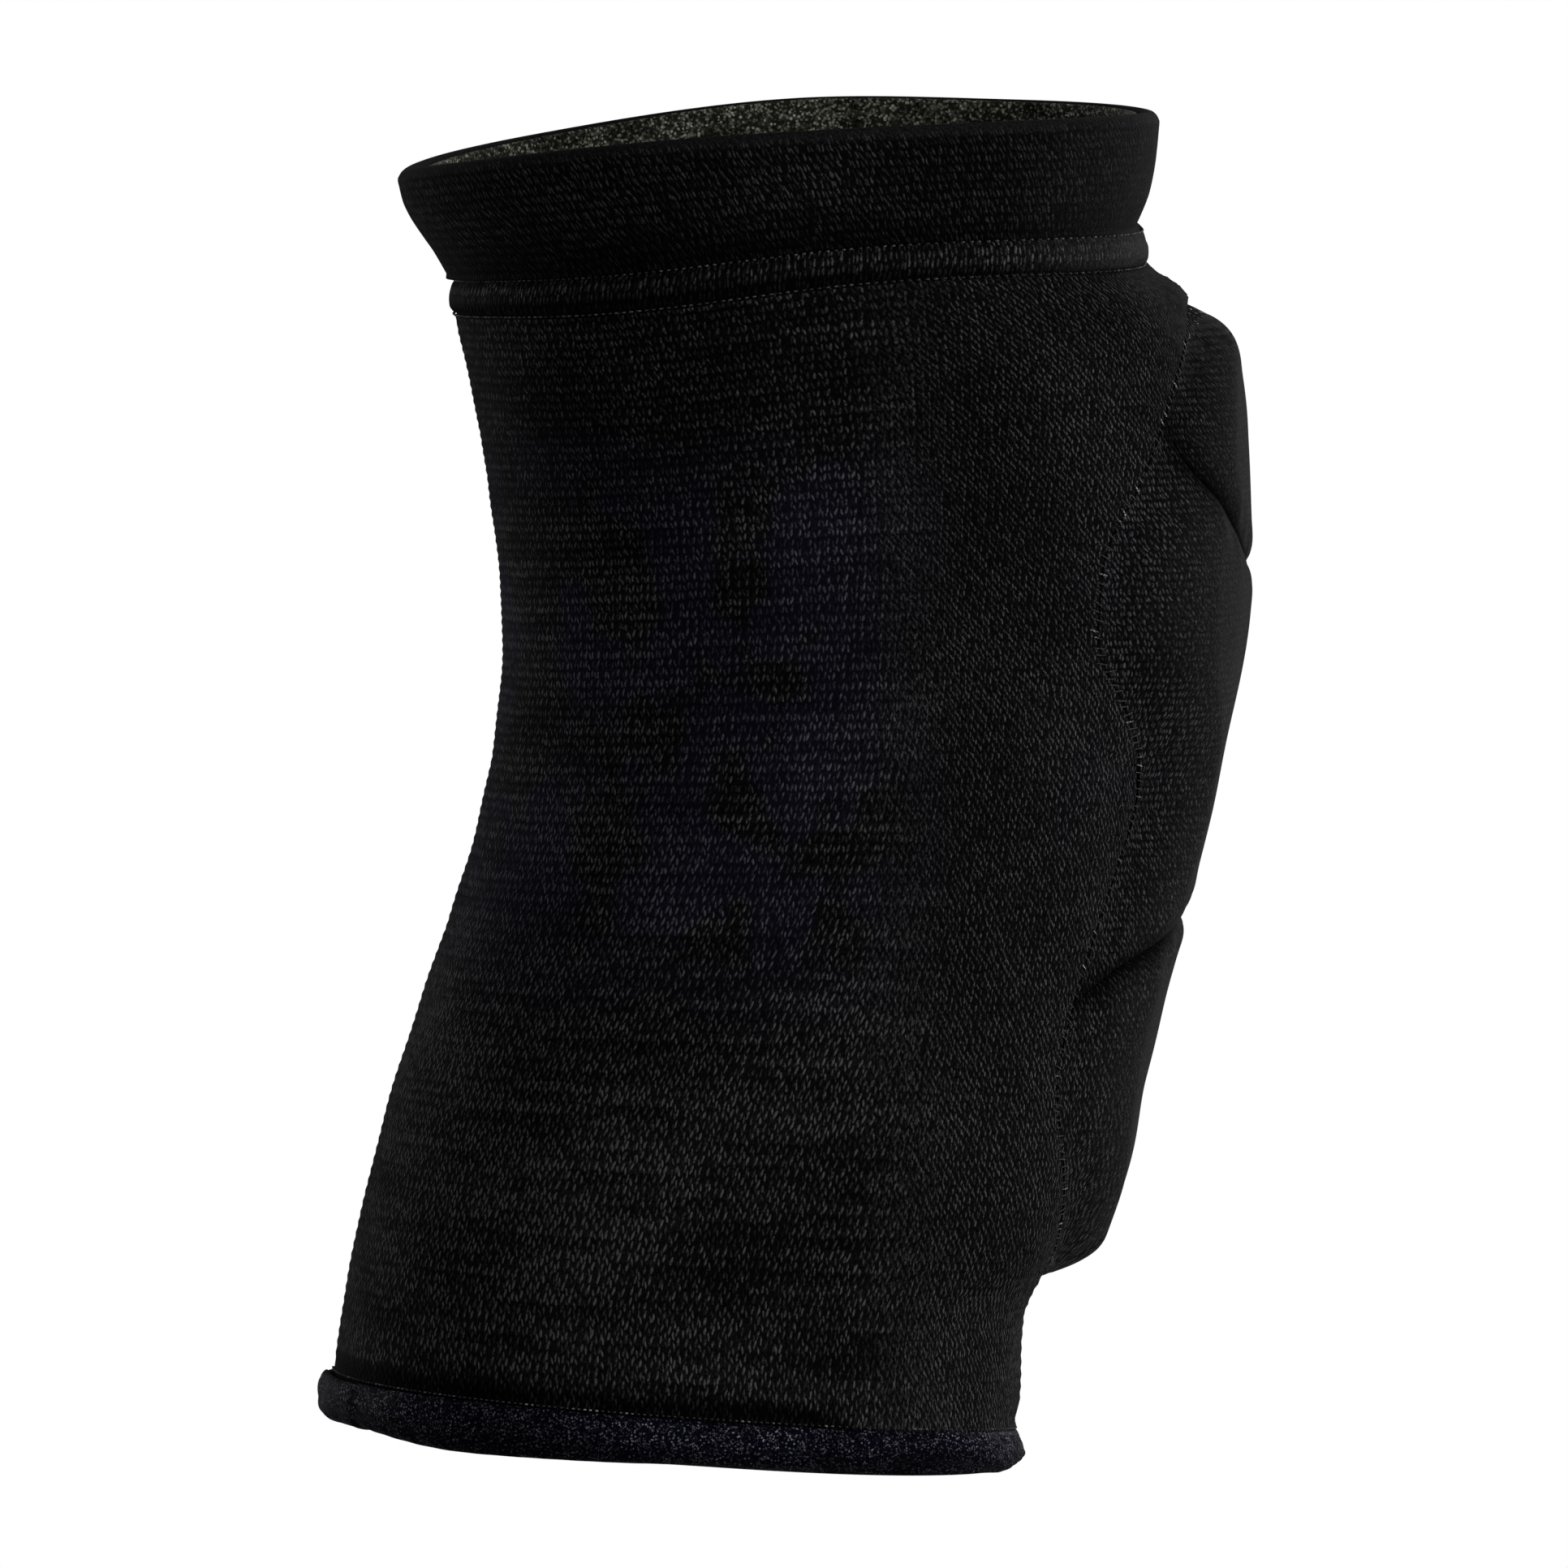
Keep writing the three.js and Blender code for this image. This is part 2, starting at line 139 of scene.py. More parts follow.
@dataclass(frozen=True)
class Unevenness:
    """Slow waves that keep cloth from looking turned on a lathe."""

    seed: int
    shortest: float = 14.0
    longest: float = 46.0
    waves: int = 12

    def at(self, across: Array, up: Array) -> Array:
        """Reads the waves.

        Args:
            across: Millimetres round the leg.
            up: Millimetres up the leg.

        Returns:
            Heights of about one unit, positive and negative.
        """
        rng = np.random.default_rng(self.seed)
        total = np.zeros(np.broadcast(across, up).shape)
        for _ in range(self.waves):
            heading = rng.uniform(0, math.pi)
            length = rng.uniform(self.shortest, self.longest)
            phase = rng.uniform(0, TURN)
            along = across * math.cos(heading) + up * math.sin(heading)
            total = total + np.sin(TURN * along / length + phase)
        return total / math.sqrt(self.waves / 2)


@dataclass(frozen=True)
class Leg:
    """The bent leg that the whole pad is wrapped round."""

    sleeve_height: float = 177.4
    cuff_height: float = 23.5
    hem_height: float = 7.4
    leg_depth: float = 110.0
    leg_width: float = 110.0
    front_from: float = -0.3
    front_to: float = 0.7
    front_squareness: float = 3.2
    back_squareness: float = 2.1
    top_front_rise: float = 4.1
    hem_front_drop: float = 3.5
    top_side_rise: float = 2.9
    top_from: float = 0.7
    welt_dip: float = 1.9
    dip_angle: float = 2.05
    dip_spread: float = 0.55
    pad_start: float = 23.2
    pad_margin: float = 8.0
    pad_swell: float = 6.3
    swell_from: float = 0.55
    swell_to: float = 1.35
    wales: int = 250
    courses: int = 110
    course_crowding: float = 0.14
    wale_drift: float = 5.0
    drift_angle: float = 0.8
    drift_spread: float = 0.55
    back: Curve = tenths(
        -0.696, -0.673, -0.638, -0.595, -0.543, -0.492, -0.461, -0.45, -0.462, -0.486, -0.519
    )
    front: Curve = tenths(
        0.302, 0.311, 0.342, 0.377, 0.418, 0.455, 0.491, 0.509, 0.514, 0.505, 0.483
    )
    side: Curve = tenths(0.455, 0.46, 0.465, 0.465, 0.462, 0.462, 0.466, 0.474, 0.482, 0.49, 0.5)
    lifts: Curve = Curve(
        (
            (-0.045, 0.0), (-0.02, 0.13), (0.0, 0.37), (0.03, 0.62), (0.105, 0.85),
            (0.2, 0.78), (0.32, 0.6), (0.445, 0.55), (0.566, 0.58), (0.688, 0.76),
            (0.81, 0.87), (0.93, 0.95), (0.99, 1.0), (1.02, 0.62), (1.052, 0.0),
        )
    )

    @property
    def front_height(self) -> float:
        """Length of the sleeve down its front."""
        return self.sleeve_height + self.top_front_rise + self.hem_front_drop

    @property
    def pad_length(self) -> float:
        """Length of the three lobes together."""
        return self.front_height - self.pad_start - self.pad_margin

    @property
    def hem_line(self) -> float:
        """Height of the sleeve's lower edge on the leg's axis."""
        return -(self.sleeve_height + self.cuff_height - self.hem_height) / 2

    def level(self, angle: Array, along: Array | float, rise: Array | float) -> Array:
        """Height of a level line of the knit, which sags on either side of the back.

        Args:
            angle: Angles round the leg, from the front.
            along: Shares of the sleeve's height.
            rise: Distance above the line, over which the cuff makes up for the sag.

        Returns:
            Heights in the row frame.
        """
        tilt = blend(-self.hem_front_drop, self.top_front_rise, along)
        sides = self.top_side_rise * along
        axis = self.hem_line + self.sleeve_height * along
        cuff_share = np.clip(rise / self.cuff_height, 0, 1)
        strength = smoothstep(along, self.top_from, 1.0) * (1 - cuff_share)
        sag = self.welt_dip * hump(np.abs(angle) - self.dip_angle, self.dip_spread) * strength
        return axis + tilt * np.cos(angle) + sides * np.sin(angle) ** 2 - sag

    def section(self, along: Array | float) -> tuple[Array, Array, Array]:
        """Shape of the leg at a height.

        Args:
            along: Shares of the sleeve's height.

        Returns:
            The section's middle, half depth and half width.
        """
        front = self.front.at(along) * self.leg_depth
        back = self.back.at(along) * self.leg_depth
        width = self.side.at(along) * self.leg_width
        return (front + back) / 2, (front - back) / 2, width

    def swell(self, angle: Array, along: Array | float) -> Array:
        """How far the padding lifts the knit off the leg.

        Args:
            angle: Angles round the leg.
            along: Shares of the sleeve's height.

        Returns:
            Lifts in millimetres.
        """
        place = (along * self.front_height - self.pad_start) / self.pad_length
        aside = smoothstep(np.abs(angle), self.swell_from, self.swell_to)
        return self.pad_swell * self.lifts.at(place) * (1 - aside)

    def point(
        self,
        angle: Array,
        along: Array | float,
        outward: Array | float = 0.0,
        rise: Array | float = 0.0,
        lifted: bool = True,
    ) -> Array:
        """Points round the leg.

        Args:
            angle: Angles round the leg.
            along: Shares of the sleeve's height.
            outward: Distance outside the knit's outer face.
            rise: Distance above the level line.
            lifted: Whether the padding's swell counts.

        Returns:
            Points, with the three coordinates last.
        """
        angle, along, outward, rise = np.broadcast_arrays(
            *(np.asarray(value, float) for value in (angle, along, outward, rise))
        )
        turned = np.arctan2(np.sin(angle), np.cos(angle))
        middle, depth, width = self.section(along)
        frontness = smoothstep(np.cos(turned), self.front_from, self.front_to)
        power = blend(self.back_squareness, self.front_squareness, frontness)
        forward = np.abs(np.cos(turned)) / (depth + outward)
        sideways = np.abs(np.sin(turned)) / (width + outward)
        reach = (forward**power + sideways**power) ** (-1 / power)
        if lifted:
            reach = reach + self.swell(turned, along)
        x = middle + reach * np.cos(turned)
        y = reach * np.sin(turned)
        return np.stack((x, y, self.level(turned, along, rise) + rise), -1)

    def knit(self, angle: Array, along: Array) -> Array:
        """Wale and course of the knit, which count stitches across and up.

        Args:
            angle: Angles round the leg, from minus to plus half a turn.
            along: Shares of the sleeve's height.

        Returns:
            Pairs of wale and course.
        """
        fine = np.linspace(-math.pi, math.pi, 721)
        ring = self.point(fine, 0.5)[:, :2]
        steps = np.linalg.norm(np.diff(ring, axis=0), axis=1)
        length = np.concatenate(([0.0], np.cumsum(steps)))
        share = np.interp(angle, fine, length / length[-1]) - 0.5
        drift = np.sign(angle) * hump(np.abs(angle) - self.drift_angle, self.drift_spread)
        drift = drift * smoothstep(along, self.top_from, 1.0)
        wale = share * self.wales + drift * self.wale_drift
        course = self.courses * along * (1 + self.course_crowding * (along - 1))
        return np.stack(np.broadcast_arrays(wale, course), -1)

    def wale(self, angle: Array) -> Array:
        """Wale of the knit at angles round the leg, halfway up it."""
        return self.knit(angle, np.full_like(angle, 0.5))[..., 0]

    def girth(self, angle: Array, along: Array) -> Array:
        """Signed millimetres round the leg from the front."""
        _, depth, width = self.section(along)
        return angle * (depth + width) / 2


@dataclass
class Patchwork:
    """Corners, four-sided faces and UV maps of one piece."""

    corners: list[Array] = field(default_factory=list)
    faces: list[Array] = field(default_factory=list)
    knit: list[Array] = field(default_factory=list)
    bake: list[Array] = field(default_factory=list)
    count: int = 0

    def add(self, corners: Array, faces: Array, knit: Array, bake: Array) -> None:
        """Adds a part whose faces count from its own first corner.

        Args:
            corners: Points in millimetres.
            faces: Four corner numbers to a face.
            knit: Wale and course at each face's corners.
            bake: Place in the bake at each face's corners.
        """
        self.corners.append(np.asarray(corners, float).reshape(-1, 3))
        self.faces.append(np.asarray(faces).reshape(-1, 4) + self.count)
        self.knit.append(np.asarray(knit, float).reshape(-1, 4, 2))
        self.bake.append(np.asarray(bake, float).reshape(-1, 4, 2))
        self.count += len(self.corners[-1])

    def build(self, name: str, material: Material) -> Piece:
        """Makes the piece in the scene.

        Args:
            name: The piece's name.
            material: Its finish.

        Returns:
            The new object.
        """
        mesh = bpy.data.meshes.new(name)
        corners = np.concatenate(self.corners) * MM
        faces = np.concatenate(self.faces)
        mesh.from_pydata(corners.tolist(), [], faces.tolist())
        for title, parts in ((BAKE_MAP, self.bake), (KNIT_MAP, self.knit)):
            layer = mesh.uv_layers.new(name=title)
            layer.data.foreach_set("uv", np.concatenate(parts).astype(np.float32).ravel())
        mesh.uv_layers.active_index = 0
        mesh.shade_smooth()
        mesh.materials.append(material)
        piece = bpy.data.objects.new(name, mesh)
        bpy.context.scene.collection.objects.link(piece)
        return piece


def grid_faces(columns: int, rows: int, wrap_columns: bool, wrap_rows: bool) -> Array:
    """Faces of a grid whose corners run up each column in turn.

    Args:
        columns: Number of columns of corners.
        rows: Number of rows of corners.
        wrap_columns: Whether the last column joins the first.
        wrap_rows: Whether the last row joins the first.

    Returns:
        Four corner numbers to a face.
    """
    across = np.arange(columns if wrap_columns else columns - 1)
    up = np.arange(rows if wrap_rows else rows - 1)
    i, j = grid(across, up)
    right = (i + 1) % columns
    above = (j + 1) % rows
    corners = (i * rows + j, right * rows + j, right * rows + above, i * rows + above)
    return np.stack(corners, -1).reshape(-1, 4)


def face_values(values: Array) -> Array:
    """Pairs of numbers at the four corners of each face of a grid of them."""
    corners = (values[:-1, :-1], values[1:, :-1], values[1:, 1:], values[:-1, 1:])
    return np.stack(corners, 2).reshape(-1, 4, 2)


def ring_normals(points: Array) -> Array:
    """Outward directions over a ring of columns, the first of which is repeated last.

    Args:
        points: A grid of points, columns first.

    Returns:
        A unit vector at each point.
    """
    ring = points[:-1]
    across = np.roll(ring, -1, 0) - np.roll(ring, 1, 0)
    normals = np.cross(across, np.gradient(ring, axis=1))
    normals = normals / np.maximum(np.linalg.norm(normals, axis=-1, keepdims=True), TINY)
    return np.concatenate((normals, normals[:1]))


def ring_angles(columns: int) -> Array:
    """Angles of a ring's columns from the back round to the back, ends included."""
    return np.linspace(-math.pi, math.pi, columns + 1)


def ring_piece(
    name: str, material: Material, points: Array, knit: Array
) -> Piece:
    """Makes a closed ring, whose section runs up its outside and down its inside.

    Args:
        name: The piece's name.
        material: Its finish.
        points: Columns round the leg with the first repeated last, rows round the section.
        knit: Wale and course at each of those points.

    Returns:
        The new object.
    """
    section = np.concatenate((points, points[:, :1]), 1)
    steps = np.linalg.norm(np.diff(section, axis=1), axis=2).mean(0)
    climb = np.concatenate(([0.0], np.cumsum(steps)))
    share = np.linspace(0, 1, points.shape[0])
    bake = np.stack(grid(share, climb / climb[-1]), -1) * BAKE_SCALE + BAKE_INSET
    maps = np.concatenate((knit, knit[:, :1]), 1)
    faces = grid_faces(points.shape[0] - 1, points.shape[1], True, True)
    work = Patchwork()
    work.add(points[:-1], faces, face_values(maps), face_values(bake))
    return work.build(name, material)


def carry(piece: Piece, name: str, shares: Array) -> None:
    """Writes a share at each corner of a piece under a name, for its finish to read."""
    carried = piece.data.attributes.new(name, "FLOAT", "POINT")
    carried.data.foreach_set("value", shares.astype(np.float32).ravel())


def cloth_material(name: str) -> tuple[Material, Nodes]:
    """New material with its shader.

    Args:
        name: The finish's name.

    Returns:
        The material and a builder for its nodes.
    """
    material = bpy.data.materials.new(name)
    material.use_nodes = True
    return material, Nodes(material.node_tree)


class Math(Enum):
    """Sums that a Math node can do here."""

    ADD = "ADD"
    TAKE = "SUBTRACT"
    TIMES = "MULTIPLY"
    OVER = "DIVIDE"
    POWER = "POWER"
    ROOT = "SQRT"
    FLOOR = "FLOOR"
    PART = "FRACT"
    MOST = "MAXIMUM"
    OVER_LIMIT = "GREATER_THAN"


Socket = bpy.types.NodeSocket
Value = Socket | float


class Nodes:
    """Builder for one node tree."""

    def __init__(self, tree: Tree) -> None:
        """Keeps the tree."""
        self.tree = tree

    def add(self, kind: str, **inputs: Value | Colour) -> Node:
        """New node with inputs set or linked.

        Args:
            kind: The node's type.
            **inputs: A value or socket for each input, with _ for a space in its name.

        Returns:
            The node.
        """
        node = self.tree.nodes.new(kind)
        self.feed_all(node, inputs)
        return node

    def feed_all(self, node: Node, inputs: dict[str, Value | Colour]) -> None:
        """Sets or links inputs by name, with _ for a space."""
        for key, value in inputs.items():
            self.feed(node, key.replace("_", " "), value)

    def surface(self, **inputs: Value | Colour) -> None:
        """Sets or links inputs of the material's own shader, with _ for a space."""
        self.feed_all(self.tree.nodes[SHADER], inputs)

    def feed(self, node: Node, key: str | int, value: Value | Colour) -> None:
        """Sets or links one input.

        Args:
            node: The node.
            key: The input's name or number.
            value: A number, a colour or a socket.
        """
        socket = node.inputs[key]
        if isinstance(value, bpy.types.NodeSocket):
            self.tree.links.new(value, socket)
        elif isinstance(value, tuple) and socket.type == "RGBA":
            socket.default_value = (*value, 1.0)
        else:
            socket.default_value = value

    def math(self, kind: Math, *values: Value) -> Socket:
        """Result of a sum.

        Args:
            kind: The sum.
            *values: Its numbers or sockets.

        Returns:
            The result's socket.
        """
        node = self.tree.nodes.new("ShaderNodeMath")
        node.operation = kind.value
        for place, value in enumerate(values):
            self.feed(node, place, value)
        return node.outputs[0]

    def times(self, first: Value, *others: Value) -> Value:
        """Product of numbers, taken in order.

        Args:
            first: The first number or socket.
            *others: What it is multiplied by.

        Returns:
            The product's socket.
        """
        product = first
        for other in others:
            product = self.math(Math.TIMES, product, other)
        return product

    def ramp(self, value: Value, start: float, end: float, low: float, high: float) -> Socket:
        """Value carried smoothly from one range to another and held at its ends.

        Args:
            value: What is read.
            start: Where the first range starts.
            end: Where it ends.
            low: Result at the start.
            high: Result at the end.

        Returns:
            The result's socket.
        """
        node = self.tree.nodes.new("ShaderNodeMapRange")
        node.interpolation_type = "SMOOTHSTEP"
        for place, number in enumerate((value, start, end, low, high)):
            self.feed(node, place, number)
        return node.outputs[0]

    def mix(self, share: Value, start: Socket | Colour, end: Socket | Colour) -> Socket:
        """Mix of two colours.

        Args:
            share: How much of the end colour shows.
            start: Colour at share zero.
            end: Colour at share one.

        Returns:
            The mixed colour's socket.
        """
        node = self.tree.nodes.new("ShaderNodeMix")
        node.data_type = "RGBA"
        self.feed(node, 0, share)
        self.feed(node, 6, start)
        self.feed(node, 7, end)
        return node.outputs[2]

    def blend(self, share: Socket, start: Socket, end: Socket) -> Socket:
        """Mix of two numbers.

        Args:
            share: How much of the end number counts.
            start: Number at share zero.
            end: Number at share one.

        Returns:
            The mixed number's socket.
        """
        node = self.tree.nodes.new("ShaderNodeMix")
        self.feed(node, 0, share)
        self.feed(node, 2, start)
        self.feed(node, 3, end)
        return node.outputs[0]

    def noise(self, place: Socket, scale: float, detail: float = 2.0) -> Socket:
        """Cloudy noise from zero to one, by its clouds to a unit and its finer layers."""
        node = self.add("ShaderNodeTexNoise", Vector=place, Scale=scale, Detail=detail)
        return node.outputs["Fac"]

    def group(self, tree: Tree, **inputs: Value | Colour) -> Node:
        """Node that places a group.

        Args:
            tree: The group's tree.
            **inputs: A value or socket for each input.

        Returns:
            The group node.
        """
        node = self.tree.nodes.new("ShaderNodeGroup")
        node.node_tree = tree
        self.feed_all(node, inputs)
        return node

    def attribute(self, name: str) -> Socket:
        """Number that the mesh carries at each corner."""
        node = self.tree.nodes.new("ShaderNodeAttribute")
        node.attribute_name = name
        return node.outputs["Fac"]

    def position(self) -> Socket:
        """Place on the piece, in metres."""
        return self.tree.nodes.new("ShaderNodeTexCoord").outputs["Object"]

    def stitches(self) -> tuple[Socket, Socket]:
        """Reads the knit's UV map.

        Returns:
            Wale and course.
        """
        reader = self.tree.nodes.new("ShaderNodeUVMap")
        reader.uv_map = KNIT_MAP
        parts = self.add("ShaderNodeSeparateXYZ", Vector=reader.outputs["UV"])
        return parts.outputs["X"], parts.outputs["Y"]


class GroupMaker:
    """Base of the node groups: makes the tree and its named sockets."""

    def __init__(self, name: str, inputs: dict[str, float], outputs: Iterable[str]) -> None:
        """Makes the group's tree.

        Args:
            name: The group's name.
            inputs: Each input's name and usual value.
            outputs: The names of the results.
        """
        self.tree = bpy.data.node_groups.new(name, "ShaderNodeTree")
        for title, usual in inputs.items():
            self.socket(title, "INPUT").default_value = usual
        for title in outputs:
            self.socket(title, "OUTPUT")
        self.nodes = Nodes(self.tree)
        self.given = self.tree.nodes.new("NodeGroupInput").outputs
        self.result = self.tree.nodes.new("NodeGroupOutput")

    def socket(
        self, title: str, way: str, kind: str = "NodeSocketFloat"
    ) -> bpy.types.NodeTreeInterfaceSocket:
        """Makes a named socket of the group."""
        return self.tree.interface.new_socket(name=title, in_out=way, socket_type=kind)

    def give(self, **values: Value) -> None:
        """Links a socket to each output, with _ for a space."""
        self.nodes.feed_all(self.result, values)


@dataclass(frozen=True)
class StitchDrawing:
    """How the two legs of a stitch are drawn, with every size in stitches."""

    stray_across: float = 0.34
    stray_up: float = 0.3
    wander_up: float = 0.6
    near_width: float = 0.17
    near_seed: float = 1.0
    near_luck: float = 1.4
    dullest: float = 0.28
    roundness: float = 1.4
    far_width: float = 0.14
    far_across: float = 0.45
    far_length: float = 0.9
    far_height: float = 0.8
    far_seed: float = 7.0
    far_luck: float = 1.2
    strands_across: float = 5.4
    strands_up: float = 2.4
    strand_light: Ramp = (0.3, 0.68, 0.3, 1.5)
    row_across: float = 0.06
    row_up: float = 3.7
    row_light: Ramp = (0.3, 0.7, -0.45, 0.4)


STITCH = StitchDrawing()


def grain_group() -> Tree:
    """Rounded grain in each cell of a grid, which is one leg of a stitch.

    Returns:
        The group, with a grain's height and a random number to a grain.
    """
    inputs = {"Across": 0.0, "Up": 0.0, "Lean": 0.0, "Width": 0.2, "Length": 0.5, "Seed": 0.0}
    maker = GroupMaker("Yarn grain", inputs, ("Height", "Random"))
    n, given = maker.nodes, maker.given
    cell = n.add(
        "ShaderNodeCombineXYZ",
        X=n.math(Math.FLOOR, given["Across"]),
        Y=n.math(Math.FLOOR, given["Up"]),
        Z=given["Seed"],
    )
    random = n.add("ShaderNodeTexWhiteNoise", Vector=cell.outputs[0])
    colour = n.add("ShaderNodeSeparateColor", Color=random.outputs["Color"])
    nudge = n.times(n.math(Math.TAKE, colour.outputs[0], 0.5), STITCH.stray_across)
    lift = n.times(n.math(Math.TAKE, colour.outputs[1], 0.5), STITCH.stray_up)
    x = n.math(Math.TAKE, n.math(Math.PART, given["Across"]), 0.5)
    y = n.math(Math.TAKE, n.math(Math.PART, given["Up"]), 0.5)
    slant = n.times(given["Lean"], y)
    x = n.math(Math.ADD, n.math(Math.TAKE, x, slant), nudge)
    y = n.math(Math.ADD, y, lift)
    across = n.math(Math.OVER, x, given["Width"])
    up = n.math(Math.OVER, y, given["Length"])
    spread = n.math(Math.ADD, n.times(across, across), n.times(up, up))
    height = n.math(Math.ROOT, n.math(Math.MOST, n.math(Math.TAKE, 1.0, spread), 0.0))
    maker.give(Height=height, Random=random.outputs["Value"])
    return maker.tree


def knit_group(grain: Tree) -> Tree:
    """Knitted face: two legs to a stitch, uneven rows and loose bright hairs. Its shade is partly
    the loops' real pattern and partly painted light: painted highlights on the loop tops and
    painted shade in the gaps between.

    Args:
        grain: The group that draws one leg.

    Returns:
        The group, with the yarn's height and its shade.
    """
    inputs = {"Wale": 0.0, "Course": 0.0, "Wander": 0.0, "Lean": 0.2, "Spread": -0.3}
    inputs |= {"Second": 0.5, "Fill": 0.1, "Length": 0.42, "Rows": 1.0, "Offset": 0.2}
    maker = GroupMaker("Knit face", inputs, ("Height", "Shade"))
    n, given = maker.nodes, maker.given
    wale = n.math(Math.ADD, given["Wale"], given["Wander"])
    course = n.math(Math.ADD, given["Course"], n.times(given["Wander"], STITCH.wander_up))
    near = n.group(
        grain,
        Across=wale,
        Up=course,
        Lean=given["Lean"],
        Width=STITCH.near_width,
        Length=given["Length"],
        Seed=STITCH.near_seed,
    )
    far = n.group(
        grain,
        Across=n.math(Math.ADD, wale, STITCH.far_across),
        Up=n.math(Math.ADD, course, given["Offset"]),
        Lean=n.math(Math.ADD, given["Lean"], given["Spread"]),
        Width=STITCH.far_width,
        Length=n.times(given["Length"], STITCH.far_length),
        Seed=STITCH.far_seed,
    )
    near_height, far_height = near.outputs["Height"], far.outputs["Height"]
    luck = n.math(Math.POWER, near.outputs["Random"], STITCH.near_luck)
    bright = n.math(Math.ADD, n.times(luck, 1 - STITCH.dullest), STITCH.dullest)
    first = n.times(n.math(Math.POWER, near_height, STITCH.roundness), bright)
    other = n.math(Math.POWER, far.outputs["Random"], STITCH.far_luck)
    second = n.times(far_height, other, given["Second"])
    height = n.math(Math.MOST, near_height, n.times(far_height, STITCH.far_height))
    strand_place = n.add(
        "ShaderNodeCombineXYZ",
        X=n.times(wale, STITCH.strands_across),
        Y=n.times(course, STITCH.strands_up),
    )
    strands = n.ramp(n.noise(strand_place.outputs[0], 1.0, 2.0), *STITCH.strand_light)
    row_place = n.add(
        "ShaderNodeCombineXYZ",
        X=n.times(wale, STITCH.row_across),
        Y=n.times(n.math(Math.FLOOR, course), STITCH.row_up),
    )
    uneven = n.ramp(n.noise(row_place.outputs[0], 1.0, 1.0), *STITCH.row_light)
    rows = n.math(Math.ADD, n.times(uneven, given["Rows"]), 1.0)
    lit = n.math(Math.ADD, n.math(Math.MOST, first, second), given["Fill"])
    maker.give(Height=height, Shade=n.times(lit, strands, rows))
    return maker.tree


def sparkle_group() -> Tree:
    """Tiny bright glints, painted highlights put in the base colour of shiny yarn.

    Returns:
        The group, with the glints' mask.
    """
    inputs = {"Size": 0.3, "Share": 0.1}
    maker = GroupMaker("Glints", inputs, ("Mask",))
    maker.socket("Place", "INPUT", "NodeSocketVector")
    n, given = maker.nodes, maker.given
    cells = n.add("ShaderNodeTexVoronoi", Vector=given["Place"], Scale=1.0)
    luck = n.add("ShaderNodeSeparateColor", Color=cells.outputs["Color"])
    near = n.math(Math.TAKE, given["Size"], cells.outputs["Distance"])
    round_spot = n.math(Math.OVER, n.math(Math.MOST, near, 0.0), given["Size"])
    chosen = n.math(Math.OVER_LIMIT, given["Share"], luck.outputs[0])
    bright = n.math(Math.POWER, luck.outputs[1], 2.5)
    maker.give(Mask=n.times(round_spot, chosen, bright))
    return maker.tree


@dataclass
class Effects:
    """The node groups that more than one finish uses."""

    grain: Tree = field(default_factory=grain_group)
    glints: Tree = field(default_factory=sparkle_group)
    knit: Tree = field(init=False)

    def __post_init__(self) -> None:
        """Builds the knit on the grain."""
        self.knit = knit_group(self.grain)


@dataclass(frozen=True)
class KnitPlaces:
    """Where the knit's look changes, each as start, end, and the value at either.

    Heights and distances forward are in metres, and the rest reads a noise.
    """

    second_leg_by_height: Ramp = (-0.035, 0.005, 0.42, 0.2)
    front_face: Ramp = (0.004, 0.026, 0.0, 1.0)
    front_rows: float = 0.25
    front_offset: float = 0.5
    # Painted light: the front face's colour is made a little lighter.
    painted_front_light: float = 1.06
    drift_clouds: float = 260.0
    fuzz_clouds: float = 2600.0
    fuzz: Ramp = (0.35, 0.7, 0.5, 1.4)
    wear_clouds: float = 34.0
    wear: Ramp = (0.35, 0.68, 0.72, 1.2)
    # Painted shade: the lowest courses are darkened, by amounts that change from the back to the
    # front.
    seam_shadow: tuple[float, float] = (-0.005, 0.02)
    stretched_light: float = 0.27
    fold_shadow: float = 0.72
    navy_clouds: float = 60.0
    navy_patches: Ramp = (0.42, 0.52, 0.0, 0.9)
    navy_behind: Ramp = (-0.005, 0.025, 1.0, 0.12)
    navy_below: Ramp = (0.045, 0.065, 1.0, 0.08)
    navy_above: Ramp = (-0.04, -0.012, 0.08, 1.0)
    # Painted light: the knit's colour is made lighter low down than at the top.
    painted_light_by_height: tuple[float, float] = (-0.06, 0.07)
    # Painted light: by the back edge the knit's colour is made lighter low down and darker high up.
    painted_back_light_by_height: tuple[float, float] = (0.02, 0.06)
    painted_back_light_edge: tuple[float, float] = (-0.038, -0.008)
    strand_clouds: float = 3800.0
    strand_relief: float = 0.3
    specular: float = 0.012
    sheen_roughness: float = 0.3
    sheen_tint: Colour = (0.86, 0.87, 0.95)


KNIT = KnitPlaces()


